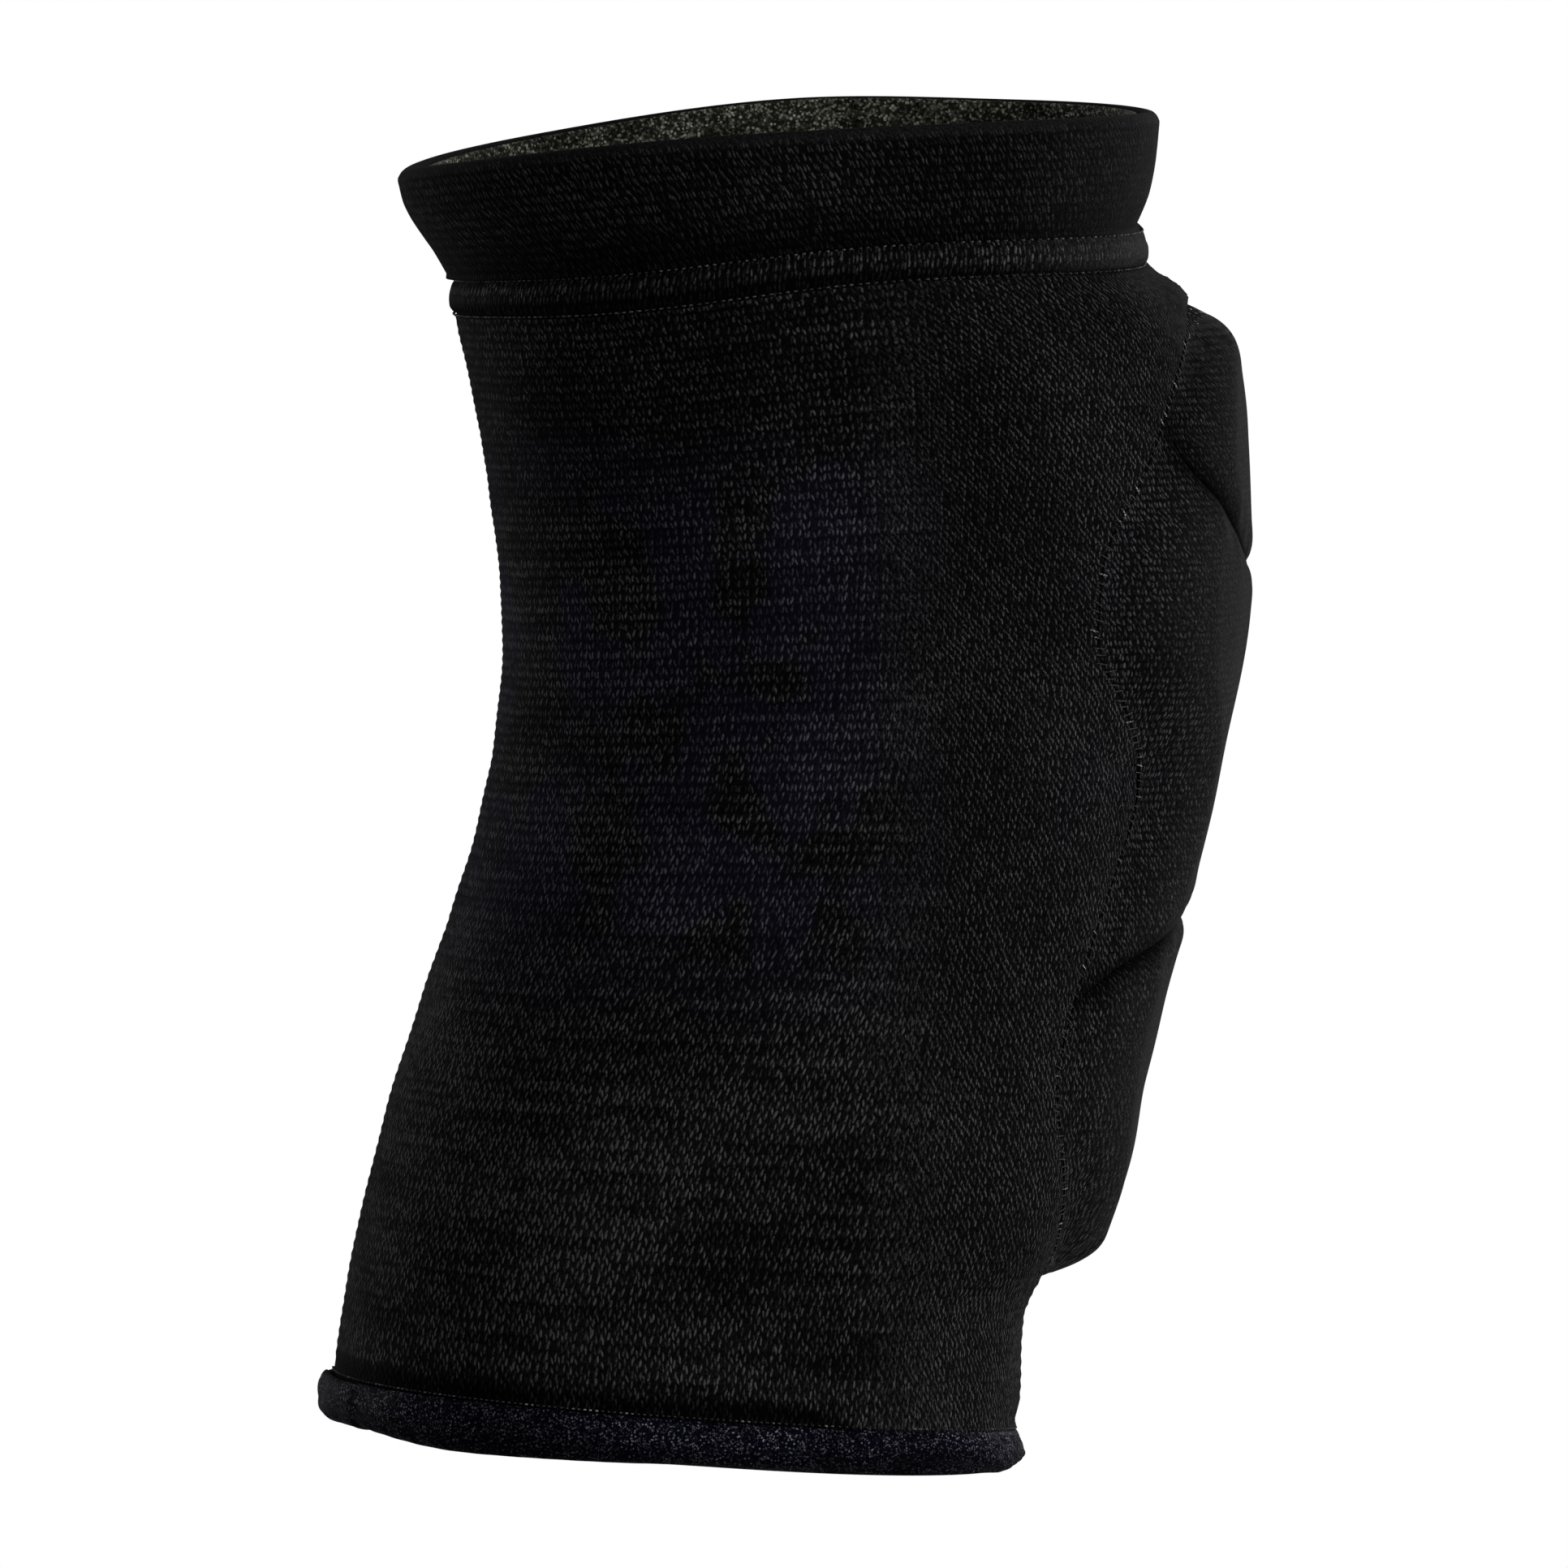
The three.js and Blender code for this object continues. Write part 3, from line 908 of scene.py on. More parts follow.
@dataclass(frozen=True)
class KnitFinish:
    """Black stretch knit."""

    name: str
    # Gap and yarn colours: the knit's real black, with painted shade in the gaps and painted
    # highlights on the loop tops.
    gap: Colour = (0.0005, 0.0005, 0.0006)
    yarn: Colour = (0.080, 0.080, 0.081)
    navy: Colour = (0.072, 0.069, 0.091)
    navy_gap: Colour = (0.0028, 0.0023, 0.0062)
    lean: float = 0.0
    front_lean: float = -0.18
    fineness: float = 1.0
    front_fineness: float = 0.0
    spread: float = -0.3
    second: float = 0.9
    length: float = 0.42
    rows: float = 1.0
    fill: float = 0.045
    # Painted shade: the lowest courses are darkened, for the groove over the hem, the welt's lower
    # half and the cuff just over the welt.
    shaded_courses: float = 0.0
    front_shaded_courses: float = 0.0
    shade_blend: float = 1.4
    deepest_shade: float = 0.12
    wander: float = 0.5
    # Painted light: the knit's colour is made lighter low down than at the top.
    painted_low_light: float = 1.0
    # Painted light: by the back edge the knit's colour is made lighter low down and darker high up.
    painted_back_light_low: float = 1.0
    painted_back_light_high: float = 1.0
    relief: float = 0.12
    smoothing: float = 0.0
    sheen: float = 0.011
    roughness: float = 0.85

    def face(
        self, n: Nodes, effects: Effects, fineness: float, wander: Socket, **looks: Value
    ) -> Node:
        """Places the knit at one fineness.

        Args:
            n: The material's nodes.
            effects: The shared node groups.
            fineness: Stitches drawn to a stitch of the map.
            wander: How far the yarns stray.
            **looks: The knit's lean, its rows and the offset of its second leg.

        Returns:
            The group node.
        """
        wale, course = n.stitches()
        return n.group(
            effects.knit,
            Wale=n.times(wale, fineness),
            Course=n.times(course, fineness),
            Wander=wander,
            Spread=self.spread,
            Second=self.second,
            Fill=self.fill,
            Length=self.length,
            **looks,
        )

    def woven(
        self, n: Nodes, effects: Effects, place: Socket, ahead: Socket, up: Socket
    ) -> tuple[Socket, Socket]:
        """Draws the knit, with a face of its own at the front where the finish has one.

        Args:
            n: The material's nodes.
            effects: The shared node groups.
            place: Place on the piece.
            ahead: Distance forward.
            up: Height.

        Returns:
            The yarn's shade and its height.
        """
        drift = n.math(Math.TAKE, n.noise(place, KNIT.drift_clouds), 0.5)
        wander = n.times(drift, self.wander)
        offset = n.ramp(up, *KNIT.second_leg_by_height)
        side = self.face(
            n, effects, self.fineness, wander, Lean=self.lean, Rows=self.rows, Offset=offset
        )
        shade, height = side.outputs["Shade"], side.outputs["Height"]
        if not self.front_fineness:
            return shade, height
        front = self.face(
            n,
            effects,
            self.front_fineness,
            wander,
            Lean=self.front_lean,
            Rows=self.rows * KNIT.front_rows,
            Offset=KNIT.front_offset,
        )
        share = n.ramp(ahead, *KNIT.front_face)
        # Painted light: the front face's colour is made a little lighter.
        front_shade = n.times(front.outputs["Shade"], KNIT.painted_front_light)
        return n.blend(share, shade, front_shade), n.blend(share, height, front.outputs["Height"])

    def hues(self, n: Nodes, place: Socket, ahead: Socket, up: Socket) -> tuple[Socket, Socket]:
        """Navy patches behind the knee, in the yarn and in the gaps between.

        Args:
            n: The material's nodes.
            place: Place on the piece.
            ahead: Distance forward.
            up: Height.

        Returns:
            The gap's colour and the yarn's.
        """
        patches = n.ramp(n.noise(place, KNIT.navy_clouds, 3.0), *KNIT.navy_patches)
        behind = n.ramp(ahead, *KNIT.navy_behind)
        band = n.times(n.ramp(up, *KNIT.navy_below), n.ramp(up, *KNIT.navy_above))
        share = n.times(patches, n.times(behind, band))
        return n.mix(share, self.gap, self.navy_gap), n.mix(share, self.yarn, self.navy)

    def material(self, effects: Effects) -> Material:
        """Builds the finish.

        Args:
            effects: The shared node groups.

        Returns:
            The material.
        """
        material, n = cloth_material(self.name)
        place = n.position()
        spot = n.add("ShaderNodeSeparateXYZ", Vector=place)
        ahead, up = spot.outputs["X"], spot.outputs["Z"]
        woven, height = self.woven(n, effects, place, ahead, up)
        fuzz = n.ramp(n.noise(place, KNIT.fuzz_clouds, 3.0), *KNIT.fuzz)
        cloud = n.ramp(n.noise(place, KNIT.wear_clouds, 3.0), *KNIT.wear)
        shade = n.times(woven, fuzz, cloud)
        # Painted shade: the lowest courses are darkened, for the groove over the hem, the welt's
        # lower half and the cuff just over the welt.
        if self.shaded_courses:
            deep = n.ramp(ahead, *KNIT.seam_shadow, self.shaded_courses, self.front_shaded_courses)
            start = n.math(Math.TAKE, deep, self.shade_blend)
            _, course = n.stitches()
            shade = n.times(shade, n.ramp(course, start, deep, self.deepest_shade, 1.0))
        if self.smoothing:
            calm = n.times(n.attribute(STRETCH), self.smoothing)
            sharp = n.math(Math.TAKE, 1.0, calm)
            plain = n.times(fuzz, KNIT.stretched_light, calm)
            shade = n.math(Math.ADD, n.times(shade, sharp), plain)
            folded = n.times(n.attribute(FOLD), KNIT.fold_shadow)
            shade = n.times(shade, n.math(Math.TAKE, 1.0, folded))
            height = n.times(height, sharp)
        # Painted light: the knit's colour is made lighter low down than at the top.
        shade = n.times(shade, n.ramp(up, *KNIT.painted_light_by_height, self.painted_low_light, 1.0))
        # Painted light: by the back edge the knit's colour is made lighter low down and darker high
        # up.
        back = n.ramp(up, *KNIT.painted_back_light_by_height, self.painted_back_light_low, self.painted_back_light_high)
        shade = n.times(shade, n.ramp(ahead, *KNIT.painted_back_light_edge, back, 1.0))
        gap, hue = self.hues(n, place, ahead, up)
        strands = n.times(n.noise(place, KNIT.strand_clouds, 2.0), KNIT.strand_relief)
        height = n.math(Math.ADD, height, strands)
        bump = n.add("ShaderNodeBump", Strength=1.0, Distance=self.relief * MM, Height=height)
        n.surface(
            Base_Color=n.mix(shade, gap, hue),
            Roughness=self.roughness,
            Normal=bump.outputs[0],
            Specular_IOR_Level=KNIT.specular,
            Sheen_Weight=self.sheen,
            Sheen_Roughness=KNIT.sheen_roughness,
            Sheen_Tint=KNIT.sheen_tint,
        )
        return material


@dataclass(frozen=True)
class SatinFinish:
    """Stretch binding or elastic whose threads glitter in fine specks, painted as highlights in the
    base colour.
    """

    name: str
    dark: Colour = (0.0007, 0.0006, 0.0018)
    light: Colour = (0.0026, 0.0023, 0.0078)
    glint: Colour = (0.30, 0.30, 0.335)
    glint_size: float = 0.62
    glint_cells: float = 3100.0
    glint_share: float = 0.7
    graded: float = 0.0
    roughness: float = 0.6
    sheen: float = 0.004
    sheen_tint: Colour = (0.72, 0.74, 0.95)
    cloud_light: Ramp = (0.0, 1.0, 0.45, 1.0)
    relief: float = 0.05

    def material(self, effects: Effects) -> Material:
        """Builds the finish.

        Args:
            effects: The shared node groups.

        Returns:
            The material.
        """
        material, n = cloth_material(self.name)
        place = n.position()
        cloud = n.ramp(n.noise(place, 120.0, 4.0), 0.3, 0.7, 0.0, 1.0)
        grain = n.ramp(n.noise(place, 2600.0, 2.0), 0.35, 0.65, 0.0, 1.0)
        share = n.times(n.math(Math.ADD, cloud, grain), 0.5)
        scaled = n.tree.nodes.new("ShaderNodeVectorMath")
        scaled.operation = "SCALE"
        n.feed(scaled, 0, place)
        n.feed(scaled, "Scale", self.glint_cells)
        glints = n.group(
            effects.glints, Place=scaled.outputs[0], Size=self.glint_size, Share=self.glint_share
        )
        mask = n.times(glints.outputs["Mask"], n.ramp(cloud, *self.cloud_light))
        # The painted glints, and the tone between them, are made brighter towards the band's top.
        if self.graded:
            high = n.ramp(n.attribute(STRETCH), 0.0, 1.0, 1 - self.graded, 1 + self.graded)
            mask = n.times(mask, high)
            share = n.times(share, high)
        # Painted highlights: the glint colour is mixed into the base colour.
        base = n.mix(mask, n.mix(share, self.dark, self.light), self.glint)
        bump = n.add("ShaderNodeBump", Strength=1.0, Distance=self.relief * MM, Height=grain)
        n.surface(
            Base_Color=base,
            Roughness=self.roughness,
            Normal=bump.outputs[0],
            Specular_IOR_Level=0.012,
            Sheen_Weight=self.sheen,
            Sheen_Roughness=0.4,
            Sheen_Tint=self.sheen_tint,
        )
        return material


@dataclass(frozen=True)
class ThreadFinish:
    """Twisted sewing thread with a glint on each ply: the glints are painted highlights in the base
    colour, shown where clouds of noise allow.
    """

    name: str
    dark: Colour = (0.006, 0.006, 0.007)
    light: Colour = (0.13, 0.13, 0.135)
    glints_from: float = 0.42
    dullest: float = 0.12
    plies: float = 4.0

    def material(self, effects: Effects) -> Material:
        """Builds the finish.

        Args:
            effects: The shared node groups.

        Returns:
            The material.
        """
        material, n = cloth_material(self.name)
        along, round_it = n.stitches()
        turns = n.math(Math.ADD, n.times(along, self.plies), round_it)
        ply = n.group(
            effects.grain, Across=turns, Up=0.5, Lean=0.0, Width=0.42, Length=1.0, Seed=3.0
        )
        clouds = n.noise(n.position(), 420.0, 1.0)
        # Painted highlights: clouds of noise pick where the ply tops glint in the light colour.
        glinting = n.ramp(clouds, self.glints_from, self.glints_from + 0.2, self.dullest, 1.0)
        share = n.times(n.math(Math.POWER, ply.outputs["Height"], 2.0), glinting)
        bump = n.add(
            "ShaderNodeBump", Strength=0.8, Distance=0.08 * MM, Height=ply.outputs["Height"]
        )
        n.surface(
            Base_Color=n.mix(share, self.dark, self.light),
            Roughness=n.ramp(share, 0.0, 1.0, 0.7, 0.42),
            Normal=bump.outputs[0],
            Specular_IOR_Level=0.4,
        )
        return material


class Finish(Enum):
    """The pad's finishes, by what they cover."""

    SLEEVE_KNIT = KnitFinish(
        "sleeve_knit",
        lean=0.14,
        spread=-0.4,
        wander=0.65,
        painted_low_light=1.35,
        front_fineness=1.35,
        shaded_courses=2.6,
        front_shaded_courses=-1.2,
        painted_back_light_low=1.38,
        painted_back_light_high=0.75,
    )
    PAD_KNIT = KnitFinish(
        "pad_knit",
        wander=1.1,
        fineness=1.35,
        painted_low_light=1.15,
        lean=-0.4,
        spread=0.1,
        rows=0.12,
        smoothing=0.6,
        relief=0.06,
        sheen=0.027,
    )
    CUFF_KNIT = KnitFinish(
        "cuff_knit",
        yarn=(0.052, 0.052, 0.053),
        wander=0.9,
        fineness=1.2,
        lean=-0.45,
        spread=-0.15,
        length=0.48,
        rows=0.4,
        shaded_courses=9.5,
        front_shaded_courses=7.5,
        shade_blend=5.6,
        deepest_shade=0.3,
        smoothing=0.8,
        relief=0.1,
    )
    WELT_KNIT = KnitFinish(
        "welt_knit",
        yarn=(0.106, 0.106, 0.107),
        lean=0.05,
        spread=0.0,
        length=0.5,
        rows=0.3,
        shaded_courses=2.3,
        front_shaded_courses=1.6,
        smoothing=0.75,
        relief=0.14,
    )
    HEM_SATIN = SatinFinish("hem_satin", graded=0.45, sheen=0.0)
    FACING_ELASTIC = SatinFinish(
        "facing_elastic",
        dark=(0.0022, 0.0023, 0.0016),
        light=(0.034, 0.035, 0.025),
        glint=(1.0, 1.0, 0.82),
        glint_size=0.85,
        glint_cells=2300.0,
        glint_share=0.8,
        sheen=0.02,
    )
    THREAD = ThreadFinish("black_thread")
    WHIP_THREAD = ThreadFinish(
        "whip_thread",
        dark=(0.010, 0.010, 0.011),
        light=(0.55, 0.55, 0.56),
        glints_from=0.55,
        dullest=0.05,
    )


@dataclass
class Wardrobe:
    """Builds each finish once."""

    effects: Effects = field(default_factory=Effects)
    made: dict[Finish, Material] = field(default_factory=dict)

    def of(self, finish: Finish) -> Material:
        """Material of a finish.

        Args:
            finish: The finish.

        Returns:
            Its material.
        """
        if finish not in self.made:
            self.made[finish] = finish.value.material(self.effects)
        return self.made[finish]


def put_in_place(piece: Piece, slot: str | None, *nodes: str) -> Piece:
    """Makes a piece ride on the body and stand for its CAD nodes.

    Args:
        piece: The piece.
        slot: Not used.
        *nodes: The CAD nodes that it replaces.

    Returns:
        The piece.
    """
    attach(piece, BODY)
    if nodes:
        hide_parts(*nodes)
    LOG.info("%s: %d faces", piece.name, len(piece.data.polygons))
    return piece


@dataclass(frozen=True)
class Mark:
    """Crease or dent on the camera's side, along a line of front and height."""

    line: tuple[tuple[float, float], ...]
    depth: float
    width: float
    fade: float = 12.0

    def at(self, points: Array) -> Array:
        """Reads how far the knit is pushed in.

        Args:
            points: Points on the knit.

        Returns:
            Depths in millimetres.
        """
        place = points[..., (0, 2)]
        nearest = np.full(place.shape[:-1], np.inf)
        ends = np.array(self.line, float)
        for start, end in zip(ends[:-1], ends[1:]):
            step = end - start
            share = np.clip(((place - start) @ step) / (step @ step), 0, 1)
            gap = np.linalg.norm(place - start - share[..., None] * step, axis=-1)
            nearest = np.minimum(nearest, gap)
        facing = smoothstep(-points[..., 1], 0.0, self.fade)
        return self.depth * hump(nearest, self.width) * facing


@dataclass(frozen=True)
class PadShape:
    """Outline, crown and channels of the three lobes."""

    leg: Leg
    girth: float = 88.0
    thickness: float = 10.4
    edge: float = 0.12
    clearance: float = 0.03
    dome: float = 0.1
    side_slope: float = 15.0
    end_curve: float = 3.0
    bottom_tuck: float = 0.8
    channel_gap: float = 0.3
    lower_channel: tuple[float, float, float] = (0.375, -0.085, 2.3)
    upper_channel: tuple[float, float, float] = (0.735, 0.165, 1.75)
    spreads: Curve = Curve(
        (
            (0.0, 0.27), (0.055, 0.46), (0.11, 0.61), (0.16, 0.71), (0.215, 0.775),
            (0.29, 0.765), (0.37, 0.72), (0.44, 0.665), (0.49, 0.635), (0.54, 0.69),
            (0.6, 0.84), (0.65, 0.965), (0.7, 1.0), (0.77, 0.985), (0.83, 0.88), (0.91, 0.725),
            (0.96, 0.58), (1.0, 0.38),
        )
    )
    crowns: Curve = Curve(
        (
            (0.0, 0.7), (0.105, 0.71), (0.2, 0.73), (0.323, 0.84), (0.445, 0.93), (0.566, 0.9),
            (0.688, 0.9), (0.81, 0.8), (0.93, 0.71), (1.0, 0.66),
        )
    )

    def channel(self, facts: tuple[float, float, float], across: Array) -> Array:
        """Place of a channel up the pad, from its middle, its shift at the sides and its bend."""
        middle, shift, bend = facts
        return middle + shift * np.abs(across) ** bend

    def bow(self, across: Array | float) -> Array:
        """Share of the pad's length that its ends draw in towards the sides."""
        return self.end_curve / self.leg.pad_length * np.abs(across) ** 3

    def half_girth(self, place: Array) -> Array:
        """Half the pad's spread at a place up it."""
        return self.spreads.at(place) * self.girth / 2

    def along(self, place: Array) -> Array:
        """Share of the sleeve's height at a place up the pad."""
        return (self.leg.pad_start + place * self.leg.pad_length) / self.leg.front_height

    def angle(self, across: Array, place: Array) -> Array:
        """Angle round the leg at a place on the pad."""
        _, depth, width = self.leg.section(self.along(place))
        return across * self.half_girth(place) * 2 / (depth + width)

    def outside(self, girth: Array, height: Array) -> Array:
        """Rough distance outside the pad's stitched border.

        Args:
            girth: Millimetres round the leg from the front.
            height: Millimetres up the front from the hem line.

        Returns:
            Signed distances, negative on the pad.
        """
        place = (height - self.leg.pad_start) / self.leg.pad_length
        slope = np.gradient(self.half_girth(np.linspace(0, 1, 101)), self.leg.pad_length / 100)
        lean = np.interp(np.clip(place, 0, 1), np.linspace(0, 1, 101), slope)
        beside = (np.abs(girth) - self.half_girth(place)) / np.sqrt(1 + lean**2)
        past = np.maximum(-place, place - 1) * self.leg.pad_length
        both = np.hypot(np.maximum(beside, 0), np.maximum(past, 0))
        return np.where(both > 0, both, np.maximum(beside, past))


class End(Enum):
    """How a lobe's edge is finished: the rounding's width, and its floor by share."""

    BOTTOM = (6.0, 0.0)
    TOP = (8.5, 0.0)
    LOWER_CHANNEL = (5.0, 0.72)
    UPPER_CHANNEL = (6.0, 0.82)

    @property
    def sewn(self) -> bool:
        """Whether the edge lies in a sewn channel."""
        return self in (End.LOWER_CHANNEL, End.UPPER_CHANNEL)


@dataclass(frozen=True)
class Lobe:
    """One padded lobe, between two edges."""

    name: str
    shape: PadShape
    low: Callable[[Array], Array]
    high: Callable[[Array], Array]
    low_end: End
    high_end: End
    rows: int
    columns: int = 128
    bluntness: float = 0.5
    channel_fall: float = 0.25
    channel_gather: float = 0.2
    end_gather: float = 0.16
    pinch_depth: float = 0.16
    crease_reach: float = 1.1
    crease_growth: float = 1.7

    def rounding(self, distance: Array, end: End, across: Array) -> Array:
        """Rounding from an edge's floor up to one. A channel deepens towards the sides.

        Args:
            distance: Distance in from the edge.
            end: How the edge is finished.
            across: Shares from the middle to the side.

        Returns:
            Shares of the crown.
        """
        width, floor = end.value
        floor = floor * (1 - self.channel_fall * smoothstep(np.abs(across), 0.4, 0.85))
        short = 1 - np.clip(distance / width, 0, 1)
        return floor + (1 - floor) * (1 - short * short) ** self.bluntness

    def inward(self, across: Array, place: Array) -> Array:
        """Millimetres in from the lobe's side border."""
        return (1 - np.abs(across)) * self.shape.half_girth(place)

    def crease(self, across: Array, place: Array) -> Array:
        """Shadow in the channels, which widens towards the sides.

        Args:
            across: Shares from the middle to the side.
            place: Shares of the pad's length.

        Returns:
            Shares from zero to one.
        """
        total = np.zeros_like(place)
        reach = self.crease_reach + self.crease_growth * smoothstep(np.abs(across), 0.35, 0.75)
        for edge, end in ((self.low, self.low_end), (self.high, self.high_end)):
            if end.sewn:
                distance = np.abs(place - edge(across)) * self.shape.leg.pad_length
                total = total + hump(distance, reach)
        return np.minimum(total, 1.0)

    def body(self, across: Array, place: Array) -> Array:
        """Thickness of the padding.

        Args:
            across: Shares from the middle to the side.
            place: Shares of the pad's length.

        Returns:
            Millimetres over the lobe's underside.
        """
        shape, length = self.shape, self.shape.leg.pad_length
        side = smoothstep(self.inward(across, place), 0.0, shape.side_slope)
        below = self.rounding((place - self.low(across)) * length, self.low_end, across)
        above = self.rounding((self.high(across) - place) * length, self.high_end, across)
        crown = shape.thickness * shape.crowns.at(place) * (1 - shape.dome * across * across)
        return shape.edge + (crown - shape.edge) * side * below * above

    def points(self, across: Array, place: Array, lift: Array | float) -> Array:
        """Points a lift above the sleeve's knit.

        Args:
            across: Shares from the middle to the side.
            place: Shares of the pad's length.
            lift: Millimetres over the knit.

        Returns:
            The points.
        """
        angle = self.shape.angle(across, place)
        base = self.shape.leg.point(angle, self.shape.along(place))
        heading = np.stack((np.cos(angle), np.sin(angle), np.zeros_like(angle)), -1)
        return base + heading * np.asarray(lift)[..., None]

    def puckers(self, across: Array, place: Array) -> Array:
        """Small pinches where the stitching and the channels gather the knit.

        Args:
            across: Shares from the middle to the side.
            place: Shares of the pad's length.

        Returns:
            Millimetres to add to the thickness.
        """
        shape, length = self.shape, self.shape.leg.pad_length
        girth = across * shape.half_girth(place)
        height = place * length
        side = self.inward(across, place)
        pinch = np.sin(TURN * height / 4.3 + np.sin(height / 9.0)) * hump(side - 4.0, 3.2)
        gather = np.zeros_like(pinch)
        for edge, end in ((self.low, self.low_end), (self.high, self.high_end)):
            distance = np.abs(place - edge(across)) * length
            wave = np.sin(TURN * girth / 6.1 + 2 * np.sin(girth / 11.0))
            weight = self.channel_gather if end.sewn else self.end_gather
            gather = gather + weight * wave * hump(distance - 3.0, 2.6)
        return self.pinch_depth * pinch + gather * smoothstep(side, 0.5, 6.0)

    def build(self, material: Material) -> Piece:
        """Makes the lobe's mesh.

        Args:
            material: Its finish.

        Returns:
            The new object.
        """
        spread = np.sin(np.linspace(-1, 1, self.columns) * math.pi / 2)
        spread = blend(np.linspace(-1, 1, self.columns), spread, 0.6)
        climb = (1 - np.cos(np.linspace(0, math.pi, self.rows))) / 2
        climb = blend(np.linspace(0, 1, self.rows), climb, 0.5)
        across, up = grid(spread, climb)
        place = blend(self.low(across), self.high(across), up)
        girth = across * self.shape.half_girth(place)
        height = place * self.shape.leg.pad_length
        border = np.minimum((1 - np.abs(across)) * 30, np.minimum(up, 1 - up) * 30)
        calm = smoothstep(border, 0.0, 1.0)
        slow = Unevenness(11, 12.0, 30.0).at(girth, height) * 0.1
        body = self.body(across, place) + calm * (self.puckers(across, place) + slow)
        outer = self.points(across, place, self.shape.clearance + body)
        inner = self.points(across, place, self.shape.clearance)
        knit = self.shape.leg.knit(self.shape.angle(across, place), self.shape.along(place))
        piece = self.solid(outer, inner, knit).build(self.name, material)
        ends = np.minimum(place, 1 - place) * self.shape.leg.pad_length
        stretch = smoothstep(np.minimum(self.inward(across, place), ends * 1.6), 3.0, 16.0)
        for name, shares in ((STRETCH, stretch), (FOLD, self.crease(across, place))):
            carry(piece, name, np.concatenate((shares.ravel(), shares.ravel())))
        return piece

    def solid(self, outer: Array, inner: Array, knit: Array) -> Patchwork:
        """Closes the lobe between its outer and inner sheets.

        Args:
            outer: Grid of points on the outer face.
            inner: Grid of points on the underside.
            knit: Wale and course at each.

        Returns:
            The closed piece.
        """
        columns, rows = outer.shape[:2]
        share = np.stack(grid(np.linspace(0, 1, columns), np.linspace(0, 1, rows)), -1)
        faces = grid_faces(columns, rows, False, False)
        work = Patchwork()
        top = face_values(share * (0.996, 0.7) + (0.002, 0.002))
        work.add(outer, faces, face_values(knit), top)
        below = face_values(share * (0.996, 0.24) + (0.002, 0.758))
        work.add(inner, faces[:, ::-1], face_values(knit)[:, ::-1], below[:, ::-1])
        size = columns * rows
        numbers = np.arange(size).reshape(columns, rows)
        edges = (numbers[:, 0], numbers[-1, :], numbers[::-1, -1], numbers[0, ::-1])
        flat = knit.reshape(-1, 2)
        for side, edge in enumerate(edges):
            start, end = edge[:-1], edge[1:]
            quads = np.stack((start, start + size, end + size, end), -1)
            walk = np.linspace(BAKE_INSET, 1 - BAKE_INSET, len(edge))
            near, far = walk[:-1], walk[1:]
            low = np.full(len(start), 0.706 + side * 0.012)
            high = np.full(len(start), 0.714 + side * 0.012)
            pairs = ((near, high), (near, low), (far, low), (far, high))
            place = np.stack([np.stack(pair, -1) for pair in pairs], 1)
            yarns = np.stack((flat[start], flat[start], flat[end], flat[end]), 1)
            work.faces.append(quads)
            work.knit.append(yarns)
            work.bake.append(place)
        return work


@dataclass(frozen=True)
class Pads:
    """The three padded lobes over the knee."""

    shape: PadShape
    fill: float = 0.8
    rows: tuple[int, ...] = (92, 104, 72)

    def lobes(self) -> list[Lobe]:
        """The lobes from the shin up.

        Returns:
            Their shapes.
        """
        shape = self.shape
        half_gap = shape.channel_gap / 2 / shape.leg.pad_length
        tuck = shape.bottom_tuck / shape.leg.pad_length

        def beside(facts: tuple[float, float, float], side: int) -> Callable[[Array], Array]:
            """Edge of the lobe under a channel, side minus one, or over it, side one."""
            return lambda across: shape.channel(facts, across) + side * half_gap

        edges = (
            (End.BOTTOM, lambda across: shape.bow(across) - tuck),
            (End.LOWER_CHANNEL, beside(shape.lower_channel, -1)),
            (End.LOWER_CHANNEL, beside(shape.lower_channel, 1)),
            (End.UPPER_CHANNEL, beside(shape.upper_channel, -1)),
            (End.UPPER_CHANNEL, beside(shape.upper_channel, 1)),
            (End.TOP, lambda across: 1 - shape.bow(across)),
        )
        names = ("pad_lower_quilted", "pad_middle_quilted", "pad_upper_quilted")
        lobes = []
        for name, rows, low, high in zip(names, self.rows, edges[::2], edges[1::2]):
            lobes.append(Lobe(name, shape, low[1], high[1], low[0], high[0], rows))
        return lobes

    def build(self, wardrobe: Wardrobe) -> None:
        """Makes the lobes and puts them in place.

        Args:
            wardrobe: The finishes.
        """
        for lobe, node in zip(self.lobes(), ("pad_lower", "pad_middle", "pad_upper")):
            piece = lobe.build(wardrobe.of(Finish.PAD_KNIT))
            put_in_place(piece, "padded_knit", node)


